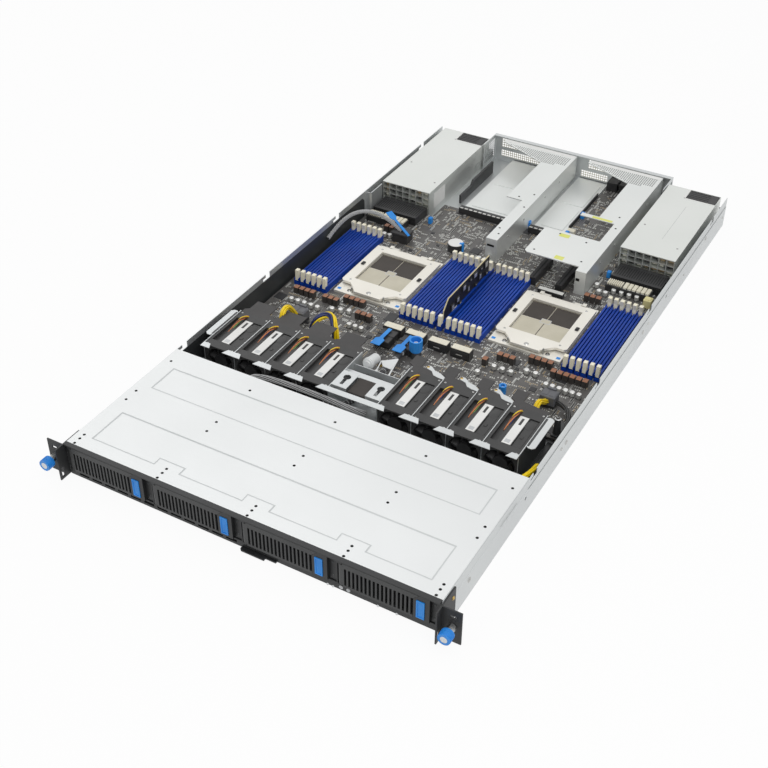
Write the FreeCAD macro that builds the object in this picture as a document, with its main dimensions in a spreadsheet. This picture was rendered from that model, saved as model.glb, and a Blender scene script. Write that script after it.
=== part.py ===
import FreeCAD, Part
import math
import os
import re
import Sketcher

# Rack server, one unit high, open at the top behind its front cover.
# X runs to the right seen from the front, Y to the rear, Z up. The origin is on the
# underside, half way along the width and the depth of the tray. All sizes are millimetres.

doc = FreeCAD.newDocument("rack_server")
sheet = doc.addObject("Spreadsheet::Sheet", "dims")

DRIVING_SIZES = [
    # overall sizes
    ("body_width", 440.0),
    ("body_height", 43.6),
    ("body_depth", 842.5),
    ("wall", 1.2),
    ("cover_sheet", 1.0),
    ("gap", 0.3),
    # tray
    ("tray_setback", 1.2),
    ("standoff_height", 5.0),
    ("standoff_radius", 3.0),
    ("standoff_x", 196.0),
    ("rail_hole_radius", 2.1),
    ("rail_hole_front", 240.0),
    ("rail_hole_rear", 180.0),
    ("fold_z", 29.5),
    ("fold_in", 0.4),
    ("hook_open", 9.0),
    ("hook_drop", 7.5),
    ("hook_leg", 6.0),
    ("hook_lip", 3.5),
    ("post_front", 615.0),
    ("post_depth", 31.0),
    ("post_width", 7.3),
    ("post_top", 40.0),
    # front cover
    ("cover_setback", 2.25),
    ("cover_length", 186.0),
    ("cover_side", 1.0),
    ("emboss_depth", 0.4),
    ("emboss_x", 199.5),
    ("rib_notch", 30.0),
    ("rib_pitch", 108.0),
    # drive bays
    ("bay_count", 4),
    ("side_guide", 1.6),
    ("divider_sheet", 1.2),
    ("shelf_z", 9.5),
    ("shelf_sheet", 0.8),
    ("cage_start", 6.0),
    ("cage_length", 149.0),
    ("bay_clear", 0.6),
    # drive carriers
    ("carrier_wall", 1.8),
    ("carrier_plate", 3.95),
    ("carrier_length", 142.0),
    ("carrier_floor", 1.2),
    ("rail_height", 20.0),
    ("face_out", 3.2),
    ("lever_thick", 4.2),
    ("lever_length", 79.5),
    ("lever_inset", 2.0),
    ("lever_nose", 6.5),
    ("lever_shoulder", 25.3),
    ("lug_height", 1.9),
    ("lug_radius", 2.6),
    ("lug_front", 1.9),
    ("hinge_pin_radius", 1.1),
    ("pin_clear", 0.12),
    ("grille_slots", 17),
    ("grille_pitch", 4.4),
    ("grille_slot", 2.4),
    ("grille_low", 3.0),
    ("grille_high", 25.0),
    ("latch_block", 17.0),
    ("button_width", 8.5),
    ("button_height", 22.0),
    ("button_proud", 0.8),
    ("button_travel", 2.0),
    # front frame and its controls
    ("frame_thick", 3.8),
    ("trim_height", 1.6),
    ("vent_slots", 12),
    ("vent_pitch", 17.0),
    ("vent_length", 13.0),
    ("control_x", 113.0),
    ("control_pitch", 8.0),
    ("control_z", 5.2),
    ("control_radius", 2.2),
    ("control_proud", 0.6),
    ("tag_x", 20.0),
    ("tag_width", 41.0),
    ("tag_length", 44.0),
    ("tag_sheet", 1.6),
    ("tag_out", 5.5),
    # rack ears
    ("ear_reach", 21.3),
    ("rack_reach", 12.55),
    ("ear_sheet", 1.5),
    ("ear_out", 3.4),
    ("ear_flange", 27.0),
    ("blade_out", 10.4),
    ("ear_trim", 1.0),
    ("screw_hole_radius", 3.2),
    ("screw_neck_radius", 2.6),
    ("screw_radius", 2.9),
    ("screw_reach", 10.5),
    ("knob_radius", 6.5),
    ("knob_length", 9.5),
    ("ferrule_radius", 4.2),
    ("ferrule_length", 8.5),
    # boards at the front
    ("backplane_start", 157.0),
    ("pcb_sheet", 1.6),
    # fans
    ("fan_start", 215.0),
    ("fan_length", 75.0),
    ("fan_width", 40.2),
    ("fan_height", 39.0),
    ("fan_clear", 0.4),
    ("bracket_sheet", 0.8),
    ("bracket_x", -3.0),
    ("bracket_half", 31.0),
    ("fan_rim", 1.9),
    ("fan_hub_radius", 9.0),
    ("fan_hub_length", 8.0),
    ("fan_strut", 3.0),
    ("rotor_length", 20.0),
    ("rotor_tip_gap", 1.4),
    ("blade_count", 5),
    ("blade_sheet", 1.0),
    ("blade_sweep", 8.0),
    ("fan_hub_gap", 0.4),
    ("tab_half", 12.0),
    ("tab_reach", 6.0),
    ("tongue_reach", 27.0),
    ("plug_row", 341.0),
    ("choke_pitch", 7.8),
    # main board
    ("board_start", 296.0),
    ("board_sheet", 1.8),
    ("board_margin", 3.0),
    ("board_wide_end", 652.0),
    ("board_mid_end", 154.0),
    ("board_mid_half", 134.0),
    ("board_tail_left", 45.0),
    ("board_tail_end", 12.0),
    # processors
    ("socket_start", 423.0),
    ("socket_width", 93.0),
    ("socket_length", 122.0),
    ("socket_base", 3.0),
    ("socket_field", 1.6),
    ("load_frame_sheet", 3.2),
    ("load_frame_length", 100.0),
    ("window_width", 66.0),
    ("window_length", 72.0),
    ("window_rear", 17.0),
    ("tongue_out", 16.0),
    ("tongue_half", 24.0),
    ("hinge_radius", 2.0),
    ("hinge_pin", 1.2),
    ("hinge_inset", 26.0),
    ("hinge_clear", 2.5),
    # memory sockets
    ("slot_start", 413.0),
    ("slot_length", 147.0),
    ("slot_width", 6.8),
    ("slot_height", 9.0),
    ("slot_pitch", 8.1),
    ("slots_per_bank", 6),
    ("groove_width", 1.6),
    ("groove_depth", 5.0),
    ("bank_inner_right", 11.6),
    ("card_slot_x", 0.6),
    ("latch_width", 4.6),
    ("latch_height", 20.0),
    ("latch_depth", 8.0),
    # centre card
    ("card_sheet", 1.4),
    ("card_height", 29.0),
    ("card_corner", 12.0),
    # power supplies
    ("psu_width", 73.5),
    ("psu_height", 40.0),
    ("psu_length", 190.0),
    ("psu_left_margin", 4.8),
    ("psu_right_margin", 7.8),
    ("psu_sheet", 1.2),
    ("psu_grid_depth", 14.0),
    ("psu_fan_x", 24.5),
    ("psu_fan_radius", 17.6),
    ("psu_fan_depth", 26.0),
    ("psu_handle_out", 22.0),
    ("psu_latch_length", 46.0),
    ("psu_latch_height", 12.0),
    ("psu_latch_sheet", 2.0),
    ("psu_latch_travel", 2.0),
    # risers
    ("riser_sheet", 1.2),
    ("riser_top", 41.5),
    ("riser_rear", 30.0),
    ("left_riser_x", -6.0),
    ("left_riser_length", 226.0),
    ("left_plate_width", 39.0),
    ("left_bar_width", 16.0),
    ("riser_plate_length", 114.0),
    ("right_riser_x", 124.0),
    ("right_riser_length", 245.0),
    ("right_plate_width", 38.0),
    ("mid_plate_width", 90.0),
    ("mid_plate_start", 160.0),
    ("mid_plate_length", 69.0),
    ("gusset_clear", 8.0),
    ("gusset_bar", 9.0),
    ("gusset_side", 10.0),
    # rear wall and card trays
    ("psu_side_gap", 1.5),
    ("rear_out", 20.0),
    ("cheek_length", 22.0),
    ("cheek_frame", 3.6),
    ("cheek_vent_low", 8.0),
    ("cheek_vent_high", 38.0),
    ("rear_flange", 7.0),
    ("vent_low", 9.5),
    ("vent_high", 19.5),
    ("card_window_low", 24.0),
    ("card_window_high", 38.0),
    ("tray_end", 150.0),
    ("tray_height", 7.0),
    ("tray_lift", 0.8),
    ("guide_sheet", 3.0),
    ("guide_height", 20.0),
    ("guide_step", 6.0),
    ("low_guide", 13.0),
    # knobs on the board
    ("big_knob_radius", 8.0),
    ("big_knob_height", 25.0),
    ("small_knob_radius", 4.4),
    ("small_knob_height", 20.0),
]

# Sizes that follow a driving size, so that neighbours stay seated when it changes
TIED_SIZES = [
    ("ear_span", "=body_width + 2 * ear_reach"),
    ("rack_pitch", "=body_width + 2 * rack_reach"),
    ("fan_bore_radius", "=fan_width / 2 - fan_rim"),
    ("socket_x", "=97.875 + 1.25 * slot_pitch"),
    ("bank_outer", "=181.725 + 2.75 * slot_pitch"),
    ("bank_inner_left", "=10.5 + (slots_per_bank - 1) * slot_pitch"),
]

for row, (alias, value) in enumerate(DRIVING_SIZES + TIED_SIZES, 1):
    sheet.set(f"A{row}", alias.replace("_", " "))
    sheet.set(f"B{row}", str(value))
    sheet.setAlias(f"B{row}", alias)
doc.recompute()

# Places that several pieces share, written once in terms of the driving sizes
FRONT = "(0 - body_depth / 2)"
REAR = "(body_depth / 2)"
BACK = f"({REAR} + rear_out)"
INNER = "(body_width / 2 - wall)"
RIM = "(body_height - cover_sheet)"
BOARD = "(wall + standoff_height + board_sheet)"
FACE = f"({FRONT} - face_out)"
BAY_PITCH = f"((2 * {INNER} - 2 * side_guide) / bay_count)"
CARRIER = f"({BAY_PITCH} - divider_sheet - 2 * bay_clear)"
BAY_FLOOR = "(shelf_z + shelf_sheet)"
BAY_LOW = f"({BAY_FLOOR} + gap)"
BAY_HIGH = f"({RIM} - emboss_depth - gap)"
PLATE_FRONT = f"({FACE} + lever_thick + gap)"
PLATE_BACK = f"({PLATE_FRONT} + carrier_plate)"
FAN_FRONT = f"({FRONT} + fan_start)"
FAN_BACK = f"({FAN_FRONT} + fan_length)"
FAN_PITCH = "(fan_width + 2 * fan_clear + bracket_sheet)"
FAN_FLOOR = "(wall + bracket_sheet)"
FAN_TOP = f"({FAN_FLOOR} + fan_height)"
FAN_AXIS_Z = f"({FAN_FLOOR} + fan_height / 2)"
DIVIDER_TOP = f"({FAN_TOP} + gap + bracket_sheet)"
PSU_EDGE = {
    "left": f"(psu_left_margin - {INNER})",
    "right": f"({INNER} - psu_right_margin - psu_width)",
}
PANEL_LEFT = f"({PSU_EDGE['left']} + psu_width + psu_side_gap)"
PANEL_RIGHT = f"({PSU_EDGE['right']} - psu_side_gap)"

nodes = {}


# Naming and binding

def bound(text):
    """Point every size named in an expression at its cell of the sheet."""
    return re.sub(r"\b[a-z][a-z0-9_]*\b", lambda name: "dims." + name.group(0), text)


def number(text):
    """The present value of an expression, for first positions of sketch points."""
    return float(sheet.evalExpression(bound(text)))


def place(piece, x="0", y="0", z="0"):
    """Bind a piece's position to the sheet."""
    for axis, text in zip("xyz", (x, y, z)):
        piece.setExpression(f"Placement.Base.{axis}", bound(text))
    return piece


def node(label, piece):
    """Record a finished piece as a named node of the assembly."""
    piece.Label = label
    nodes[label] = piece
    return piece


# Sketches and the features made from them

def new_body(name):
    return doc.addObject("PartDesign::Body", name)


def origin_feature(body, role):
    return next(item for item in body.Origin.OriginFeatures if item.Role == role)


def rect(x_low, x_high, y_low, y_high):
    """Corners of an upright rectangle."""
    return [(x_low, y_low), (x_high, y_low), (x_high, y_high), (x_low, y_high)]


def polygon(x, y, radius, sides):
    """Corners of a regular outline, flat side down, for ribbed grips and small stamped holes."""
    corners = []
    for step in range(sides):
        angle = 2 * math.pi * (step + 0.5) / sides - math.pi / 2
        corners.append((f"{x} + ({radius}) * ({math.cos(angle):.6f})",
                        f"{y} + ({radius}) * ({math.sin(angle):.6f})"))
    return corners


def circle(x, y, radius):
    return {"x": x, "y": y, "radius": radius}


def draw_outline(sketch, points):
    """A closed outline of straight lines, each corner held by two bound distances."""
    corners = [FreeCAD.Vector(number(x), number(y), 0) for x, y in points]
    first = sketch.GeometryCount
    count = len(corners)
    lines = []
    holds = []
    for index in range(count):
        following = (index + 1) % count
        lines.append(Part.LineSegment(corners[index], corners[following]))
        holds.append(Sketcher.Constraint("Coincident", first + index, 2, first + following, 1))
    for index, corner in enumerate(corners):
        holds.append(Sketcher.Constraint("DistanceX", first + index, 1, corner.x))
        holds.append(Sketcher.Constraint("DistanceY", first + index, 1, corner.y))
    sketch.addGeometry(lines, False)
    start = sketch.ConstraintCount + count
    sketch.addConstraint(holds)
    for index, (x, y) in enumerate(points):
        sketch.setExpression(f"Constraints[{start + 2 * index}]", bound(x))
        sketch.setExpression(f"Constraints[{start + 2 * index + 1}]", bound(y))


def draw_circle(sketch, ring):
    centre = FreeCAD.Vector(number(ring["x"]), number(ring["y"]), 0)
    radius = number(ring["radius"])
    item = sketch.GeometryCount
    start = sketch.ConstraintCount
    sketch.addGeometry(Part.Circle(centre, FreeCAD.Vector(0, 0, 1), radius), False)
    sketch.addConstraint([
        Sketcher.Constraint("DistanceX", item, 3, centre.x),
        Sketcher.Constraint("DistanceY", item, 3, centre.y),
        Sketcher.Constraint("Radius", item, radius),
    ])
    for offset, key in enumerate(("x", "y", "radius")):
        sketch.setExpression(f"Constraints[{start + offset}]", bound(ring[key]))


def new_sketch(body, plane, level, loops):
    """A sketch on one of the body's own planes, moved to a level along its normal."""
    sketch = body.newObject("Sketcher::SketchObject", "Sketch")
    sketch.AttachmentSupport = (origin_feature(body, plane + "_Plane"), [""])
    sketch.MapMode = "FlatFace"
    sketch.setExpression("AttachmentOffset.Base.z", bound(level))
    for loop in loops:
        if isinstance(loop, dict):
            draw_circle(sketch, loop)
        else:
            draw_outline(sketch, loop)
    return sketch


def pad(body, plane, loops, low, high):
    """Material between two levels. The front plane's normal points towards -Y."""
    level = f"0 - ({high})" if plane == "XZ" else low
    feature = body.newObject("PartDesign::Pad", "Pad")
    feature.Profile = new_sketch(body, plane, level, loops)
    feature.setExpression("Length", bound(f"({high}) - ({low})"))
    return feature


def pocket(body, plane, loops, low, high):
    """An opening between two levels, cut against the plane's normal."""
    level = f"0 - ({low})" if plane == "XZ" else high
    feature = body.newObject("PartDesign::Pocket", "Pocket")
    feature.Profile = new_sketch(body, plane, level, loops)
    feature.setExpression("Length", bound(f"({high}) - ({low})"))
    return feature


def repeat(body, feature, axis, pitch, count):
    """A row of one feature along an axis of the body."""
    row_of = body.newObject("PartDesign::LinearPattern", "Row")
    row_of.Originals = [feature]
    row_of.Direction = (origin_feature(body, axis + "_Axis"), [""])
    row_of.setExpression("Length", bound(f"({pitch}) * ({count} - 1)"))
    row_of.setExpression("Occurrences", bound(count))
    body.Tip = row_of
    return row_of


def around(body, feature, axis, count):
    """A full ring of one feature about an axis of the body."""
    ring = body.newObject("PartDesign::PolarPattern", "Ring")
    ring.Originals = [feature]
    ring.Axis = (origin_feature(body, axis + "_Axis"), [""])
    ring.Angle = 360
    ring.setExpression("Occurrences", bound(count))
    body.Tip = ring
    return ring


def block(x, y, z):
    """A plain rectangular component given by its low and high limits."""
    solid = doc.addObject("Part::Box", "Block")
    for size, (low, high) in zip(("Length", "Width", "Height"), (x, y, z)):
        solid.setExpression(size, bound(f"({high}) - ({low})"))
    return place(solid, x[0], y[0], z[0])


def copies(source, places):
    """Copies of one body at the given places."""
    made = []
    for x, y, z in places:
        copy = doc.addObject("App::Link", "Copy")
        copy.LinkedObject = source
        copy.LinkTransform = False
        made.append(place(copy, x, y, z))
    return made


def group(label, members):
    """Like pieces of one body, kept as separate solids in one node."""
    gathered = doc.addObject("Part::Compound", "Group")
    gathered.Links = members
    return node(label, gathered)


# Tray: floor and side walls bent from one sheet, with hexagonal stand-offs for the board,
# hook slots for the rear cover along both rims and a folded post before the left supply

HOOK_ROWS = [f"({FRONT} + {row})" for row in ("198", "368", "534", "774")]


def chassis_tray():
    body = new_body("chassis_tray")
    half = "body_width / 2"
    fold_top = "fold_z + fold_in"
    profile = [
        (f"0 - {half}", "0"), (half, "0"), (half, "fold_z"), (f"{half} - fold_in", fold_top),
        (f"{half} - fold_in", RIM), (INNER, RIM), (INNER, "wall"),
        (f"0 - {INNER}", "wall"), (f"0 - {INNER}", RIM), (f"fold_in - {half}", RIM),
        (f"fold_in - {half}", fold_top), (f"0 - {half}", "fold_z"),
    ]
    pad(body, "XZ", [profile], f"{FRONT} + tray_setback", REAR)
    pad(body, "XY", [rect(PANEL_LEFT, PANEL_RIGHT, f"{REAR} - 1", BACK)], "0", "wall")
    rows = ("board_start + 14", "(board_start + board_wide_end) / 2", "board_wide_end - 14")
    bosses = []
    for row in rows:
        for x in ("0 - standoff_x", "0", "standoff_x"):
            bosses.append(polygon(x, f"{FRONT} + {row}", "standoff_radius", 6))
    tail_y = f"{BACK} - board_tail_end - 14"
    bosses.append(polygon("board_tail_left + 12", tail_y, "standoff_radius", 6))
    pad(body, "XY", bosses, "wall", "wall + standoff_height")
    rail_rows = ("0 - rail_hole_front", "rail_hole_rear")
    holes = [circle(y, "body_height / 2", "rail_hole_radius") for y in rail_rows]
    pocket(body, "YZ", holes, f"0 - {half} - 1", f"{half} + 1")
    hooks = []
    for start in HOOK_ROWS:
        floor = f"{RIM} - hook_drop"
        tip = f"{start} - hook_leg"
        end = f"{start} + hook_open"
        hooks.append([
            (start, f"{RIM} + 1"), (start, f"{floor} + hook_lip"), (tip, f"{floor} + hook_lip"),
            (tip, floor), (end, floor), (end, f"{RIM} + 1"),
        ])
    pocket(body, "YZ", hooks, f"0 - {half} - 1", f"{half} + 1")
    post_back = f"{FRONT} + post_front + post_depth"
    post = [
        (f"0 - {INNER} - wall / 2", f"{FRONT} + post_front"),
        (f"post_width - {INNER} - 2", f"{FRONT} + post_front"),
        (f"post_width - {INNER}", f"{FRONT} + post_front + 2"), (f"post_width - {INNER}", post_back),
        (f"post_width - {INNER} - wall", post_back),
        (f"post_width - {INNER} - wall", f"{FRONT} + post_front + wall"),
        (f"0 - {INNER} - wall / 2", f"{FRONT} + post_front + wall"),
    ]
    pad(body, "XY", [post], f"{BOARD} + gap", "post_top")
    return node("chassis_tray", body)


# Rear wall, standing out between the power supplies: card windows, port openings, vents and top flanges

PORTS = (
    ("board_tail_left + 3", 15.0),
    ("board_tail_left + 21", 16.0),
    ("board_tail_left + 41", 31.0),
)
PORT_HIGH = f"({BOARD} + 13.5)"
LEFT_WINDOW = (f"{PANEL_LEFT} + 11", "left_riser_x - 16")
RIGHT_WINDOW = ("left_riser_x + 16", "right_riser_x - 8")


def rear_panel():
    body = new_body("rear_panel")
    loops = [rect(PANEL_LEFT, PANEL_RIGHT, "wall", RIM)]
    for low, high in (LEFT_WINDOW, RIGHT_WINDOW):
        loops.append(rect(low, high, "card_window_low", "card_window_high"))
    for x, width in PORTS:
        loops.append(rect(f"{x} - 0.5", f"{x} + {width} + 0.5", f"{BOARD} - 0.5", f"{PORT_HIGH} + 0.5"))
    loops.append(rect(LEFT_WINDOW[0], "left_riser_x - 10", "vent_low", "vent_high"))
    loops.append(rect("left_riser_x + 6", "board_tail_left - 4", "vent_low", "vent_high"))
    pad(body, "XZ", loops, f"{BACK} - wall", BACK)
    cheek = rect(f"{REAR} - cheek_length", f"{BACK} - wall / 2", "wall", RIM)
    cheek_vent = rect(f"{REAR} - cheek_length + cheek_frame", f"{BACK} - cheek_frame",
                      "cheek_vent_low", "cheek_vent_high")
    for low, high in ((PANEL_LEFT, f"{PANEL_LEFT} + wall"), (f"{PANEL_RIGHT} - wall", PANEL_RIGHT)):
        pad(body, "YZ", [cheek, cheek_vent], low, high)
    pad(body, "XY", [rect(PANEL_LEFT, PANEL_RIGHT, f"{BACK} - rear_flange", f"{BACK} - wall / 2")],
        f"{RIM} - wall", RIM)
    return node("rear_panel", body)


# Front cover: flat sheet with two embossed panels and a turned-down rear edge

def front_cover():
    body = new_body("front_cover")
    side = "(body_width / 2 - cover_side)"
    start = f"({FRONT} + cover_setback)"
    end = f"({start} + cover_length)"
    pad(body, "XY", [rect(f"0 - {side}", side, start, end)], RIM, "body_height")
    rear_panel_outline = rect("0 - emboss_x", "emboss_x", f"{start} + 114", f"{start} + 155")
    front_edge = f"{start} + 16"
    notch_edge = f"{start} + 26"
    front_outline = [("0 - emboss_x", front_edge)]
    for step in ("-1", "0", "1"):
        middle = f"{step} * rib_pitch + 5"
        front_outline += [
            (f"{middle} - rib_notch / 2", front_edge), (f"{middle} - rib_notch / 2", notch_edge),
            (f"{middle} + rib_notch / 2", notch_edge), (f"{middle} + rib_notch / 2", front_edge),
        ]
    front_outline += [
        ("emboss_x", front_edge), ("emboss_x", f"{start} + 66"), ("0 - emboss_x", f"{start} + 66"),
    ]
    panels = [rear_panel_outline, front_outline]
    pad(body, "XY", panels, f"{RIM} - emboss_depth", RIM)
    pocket(body, "XY", panels, "body_height - emboss_depth", "body_height")
    rear_lip = rect(f"0 - {INNER} + 2", f"{INNER} - 2", f"{end} - cover_sheet", end)
    pad(body, "XY", [rear_lip], f"{RIM} - 5", RIM)
    return node("front_cover", body)


# Drive cage: shelf, side guides and dividers between the bays

def divider_places():
    return [f"({step} - bay_count / 2) * {BAY_PITCH}" for step in (3, 2, 1)]


def drive_cage():
    body = new_body("drive_cage")
    top = f"({RIM} - emboss_depth)"
    half = "divider_sheet / 2"
    outline = [
        (f"0 - {INNER}", "shelf_z"), (INNER, "shelf_z"), (INNER, top),
        (f"{INNER} - side_guide", top), (f"{INNER} - side_guide", BAY_FLOOR),
    ]
    for x in divider_places():
        outline += [
            (f"{x} + {half}", BAY_FLOOR), (f"{x} + {half}", top),
            (f"{x} - {half}", top), (f"{x} - {half}", BAY_FLOOR),
        ]
    outline += [
        (f"side_guide - {INNER}", BAY_FLOOR), (f"side_guide - {INNER}", top), (f"0 - {INNER}", top),
    ]
    start = f"({FRONT} + cage_start)"
    end = f"({start} + cage_length)"
    pad(body, "XZ", [outline], start, end)
    pad(body, "XZ", [rect(f"0 - {INNER}", INNER, "wall", "shelf_z")], f"{end} - shelf_sheet", end)
    return node("drive_cage", body)


# Front frame: black surround of the bays with a vent strip below and a trim bar on top

TAG_LOW = "(wall + gap)"
FRAME_FACE = f"({FRONT} + 0.2)"


def front_frame():
    body = new_body("front_frame")
    start = FRAME_FACE
    end = f"({start} + frame_thick)"
    loops = [rect(f"0 - {INNER}", INNER, "wall", RIM)]
    half = f"({BAY_PITCH} / 2 - divider_sheet / 2)"
    for step in range(4):
        middle = f"({step} - (bay_count - 1) / 2) * {BAY_PITCH}"
        loops.append(rect(f"{middle} - {half}", f"{middle} + {half}", "shelf_z", f"{RIM} - emboss_depth"))
    for step in ("0", "1"):
        loops.append(polygon(f"control_x + {step} * control_pitch", "control_z",
                             "(control_radius + gap) * 1.04", 12))
    pad(body, "XZ", loops, start, end)
    pad(body, "XY", [rect(f"0 - {INNER}", INNER, FACE, f"{FRONT} + cover_setback")],
        "body_height - trim_height", "body_height")
    vent = pocket(body, "XZ", [rect("8 - 215", "8 - 215 + vent_length", "wall + 3", "shelf_z - 2")],
                  f"{start} - 1", f"{end} + 1")
    repeat(body, vent, "X", "vent_pitch", "vent_slots")
    tag_half = "(tag_width / 2 + gap)"
    tag_slot = rect(f"tag_x - {tag_half}", f"tag_x + {tag_half}", "wall - 1",
                    f"{TAG_LOW} + tag_sheet + gap")
    pocket(body, "XZ", [tag_slot], f"{start} - 1", f"{end} + 1")
    return node("front_frame", body)


def control_button(label, step):
    """A round push button in the front strip."""
    body = new_body(label)
    pad(body, "XZ", [circle("0", "0", "control_radius")], "0 - control_proud", "frame_thick + 1")
    place(body, f"control_x + {step} * control_pitch", FRAME_FACE, "control_z")
    return node(label, body)


def asset_tag():
    """A flat card with a stepped grip that slides out below the bays."""
    body = new_body("asset_tag")
    low = "tag_x - tag_width / 2"
    high = "tag_x + tag_width / 2"
    grip = f"{FRONT} - tag_out"
    outline = [
        (low, f"{FRONT} + tag_length"), (low, f"{grip} + 2"), (f"{low} + 2", grip),
        (f"{high} - 12", grip), (f"{high} - 12", f"{grip} + 3"), (high, f"{grip} + 3"),
        (high, f"{FRONT} + tag_length"),
    ]
    pad(body, "XY", [outline], TAG_LOW, f"{TAG_LOW} + tag_sheet")
    return node("asset_tag", body)


# Rack ears: plate with a screw hole, side flange on the tray wall and a pull blade in front

def rack_ear(label, side):
    body = new_body(label)
    plate_front = f"({FRONT} - ear_out)"
    plate_back = f"({plate_front} + ear_sheet)"
    inner = f"{side} * body_width / 2"
    outer = f"{side} * (body_width / 2 + ear_sheet)"
    tip = f"{side} * ear_span / 2"
    outline = [
        (inner, f"{plate_front} - blade_out"), (outer, f"{plate_front} - blade_out"),
        (outer, plate_front), (tip, plate_front), (tip, plate_back), (outer, plate_back),
        (outer, f"{FRONT} + ear_flange - ear_out"), (inner, f"{FRONT} + ear_flange - ear_out"),
    ]
    pad(body, "XY", [outline], "ear_trim", f"{RIM} - ear_trim / 2")
    hole_x = f"{side} * rack_pitch / 2"
    openings = [
        polygon(hole_x, "body_height / 2", "screw_hole_radius", 16),
        rect(f"{hole_x} - 3", f"{hole_x} + 3", "body_height / 2 + 10", "body_height / 2 + 13.5"),
    ]
    pocket(body, "XZ", openings, f"{plate_front} - 1", f"{plate_back} + 1")
    grip_y = f"{plate_front} - blade_out"
    grip_hole = [
        (f"{grip_y} + 2.5", "ear_trim + 3"), (f"{grip_y} + 6", "ear_trim + 3"),
        (f"{grip_y} + 6", "ear_trim + 15"), (f"{grip_y} + 2.5", "ear_trim + 15"),
    ]
    low, high = (inner, outer) if side == "1" else (outer, inner)
    pocket(body, "YZ", [grip_hole], f"{low} - 1", f"{high} + 1")
    return node(label, body)


def thumbscrew(label, side):
    """A captive screw: grip, ferrule, waisted neck in the ear's hole, and free threaded end."""
    body = new_body(label)
    knob_back = "(0 - gap - ferrule_length)"
    neck_end = "(ear_sheet + 2 * gap)"
    pad(body, "XZ", [polygon("0", "0", "knob_radius", 16)], f"{knob_back} - knob_length", knob_back)
    pad(body, "XZ", [polygon("0", "0", "ferrule_radius", 10)], knob_back, "0 - gap")
    pad(body, "XZ", [polygon("0", "0", "screw_neck_radius", 10)], "0 - gap", neck_end)
    pad(body, "XZ", [circle("0", "0", "screw_radius")], neck_end, f"{neck_end} + screw_reach")
    place(body, f"{side} * rack_pitch / 2", f"{FRONT} - ear_out", "body_height / 2")
    return node(label, body)


# Drive carriers: moulded front, side rails and open floor, with a lever and a release button

LEVER_LEFT = f"(lever_inset - {CARRIER} / 2)"
LEVER_RIGHT = f"({LEVER_LEFT} + lever_length)"
LEVER_AXIS_X = f"({LEVER_LEFT} + lever_thick / 2)"
LEVER_AXIS_Y = f"({FACE} + lever_thick / 2)"
BLOCK_RIGHT = f"({LEVER_RIGHT} + gap + latch_block)"
BUTTON_X = f"({LEVER_RIGHT} + gap + latch_block / 2 - 0.8)"
BUTTON_Z = f"({BAY_LOW} + (grille_low + grille_high) / 2)"


def bay_middle(step):
    return f"({step} - (bay_count - 1) / 2) * {BAY_PITCH}"


def drive_carrier(label, step):
    body = new_body(label)
    half = f"({CARRIER} / 2)"
    window = rect(f"{LEVER_LEFT} + 6", f"{LEVER_RIGHT} - 3", f"{BAY_LOW} + grille_low",
                  f"{BAY_LOW} + grille_high")
    pad(body, "XZ", [rect(f"0 - {half}", half, BAY_LOW, BAY_HIGH), window], PLATE_FRONT, PLATE_BACK)
    latch_block = [
        (f"{LEVER_RIGHT} + gap", BAY_LOW), (BLOCK_RIGHT, BAY_LOW), (BLOCK_RIGHT, BAY_HIGH),
        (f"{LEVER_RIGHT} + gap + lever_nose", BAY_HIGH),
        (f"{LEVER_RIGHT} + gap", f"{BAY_LOW} + lever_shoulder"),
    ]
    pad(body, "XZ", [latch_block], FACE, PLATE_FRONT)
    button_half = "(button_width / 2 + gap)"
    button_room = rect(f"{BUTTON_X} - {button_half}", f"{BUTTON_X} + {button_half}",
                       f"{BUTTON_Z} - button_height / 2 - gap", f"{BUTTON_Z} + button_height / 2 + gap")
    pocket(body, "XZ", [button_room], f"{FACE} - 1", f"{PLATE_FRONT} + button_travel")
    lug = rect(f"{LEVER_AXIS_X} - lug_radius", f"{LEVER_AXIS_X} + lug_front",
               f"{LEVER_AXIS_Y} - lug_front", f"{PLATE_FRONT} + 0.5")
    bore = polygon(LEVER_AXIS_X, LEVER_AXIS_Y, "(hinge_pin_radius + pin_clear) * 1.083", 8)
    pad(body, "XY", [lug, bore], BAY_LOW, f"{BAY_LOW} + lug_height")
    pad(body, "XY", [lug, bore], f"{BAY_HIGH} - lug_height", BAY_HIGH)
    tray_end = f"({PLATE_BACK} + carrier_length)"
    rails = [rect(f"0 - {half}", f"carrier_wall - {half}", PLATE_BACK, tray_end),
             rect(f"{half} - carrier_wall", half, PLATE_BACK, tray_end)]
    floor = rect(f"carrier_wall - {half}", f"{half} - carrier_wall", PLATE_BACK, tray_end)
    opening = rect(f"14 - {half}", f"{half} - 14", f"{PLATE_BACK} + 14", f"{tray_end} - 10")
    pad(body, "XY", [floor, opening], BAY_LOW, f"{BAY_LOW} + carrier_floor")
    for rail in rails:
        pad(body, "XY", [rail], BAY_LOW, f"{BAY_LOW} + rail_height")
    place(body, bay_middle(step))
    return node(label, body)


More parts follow.
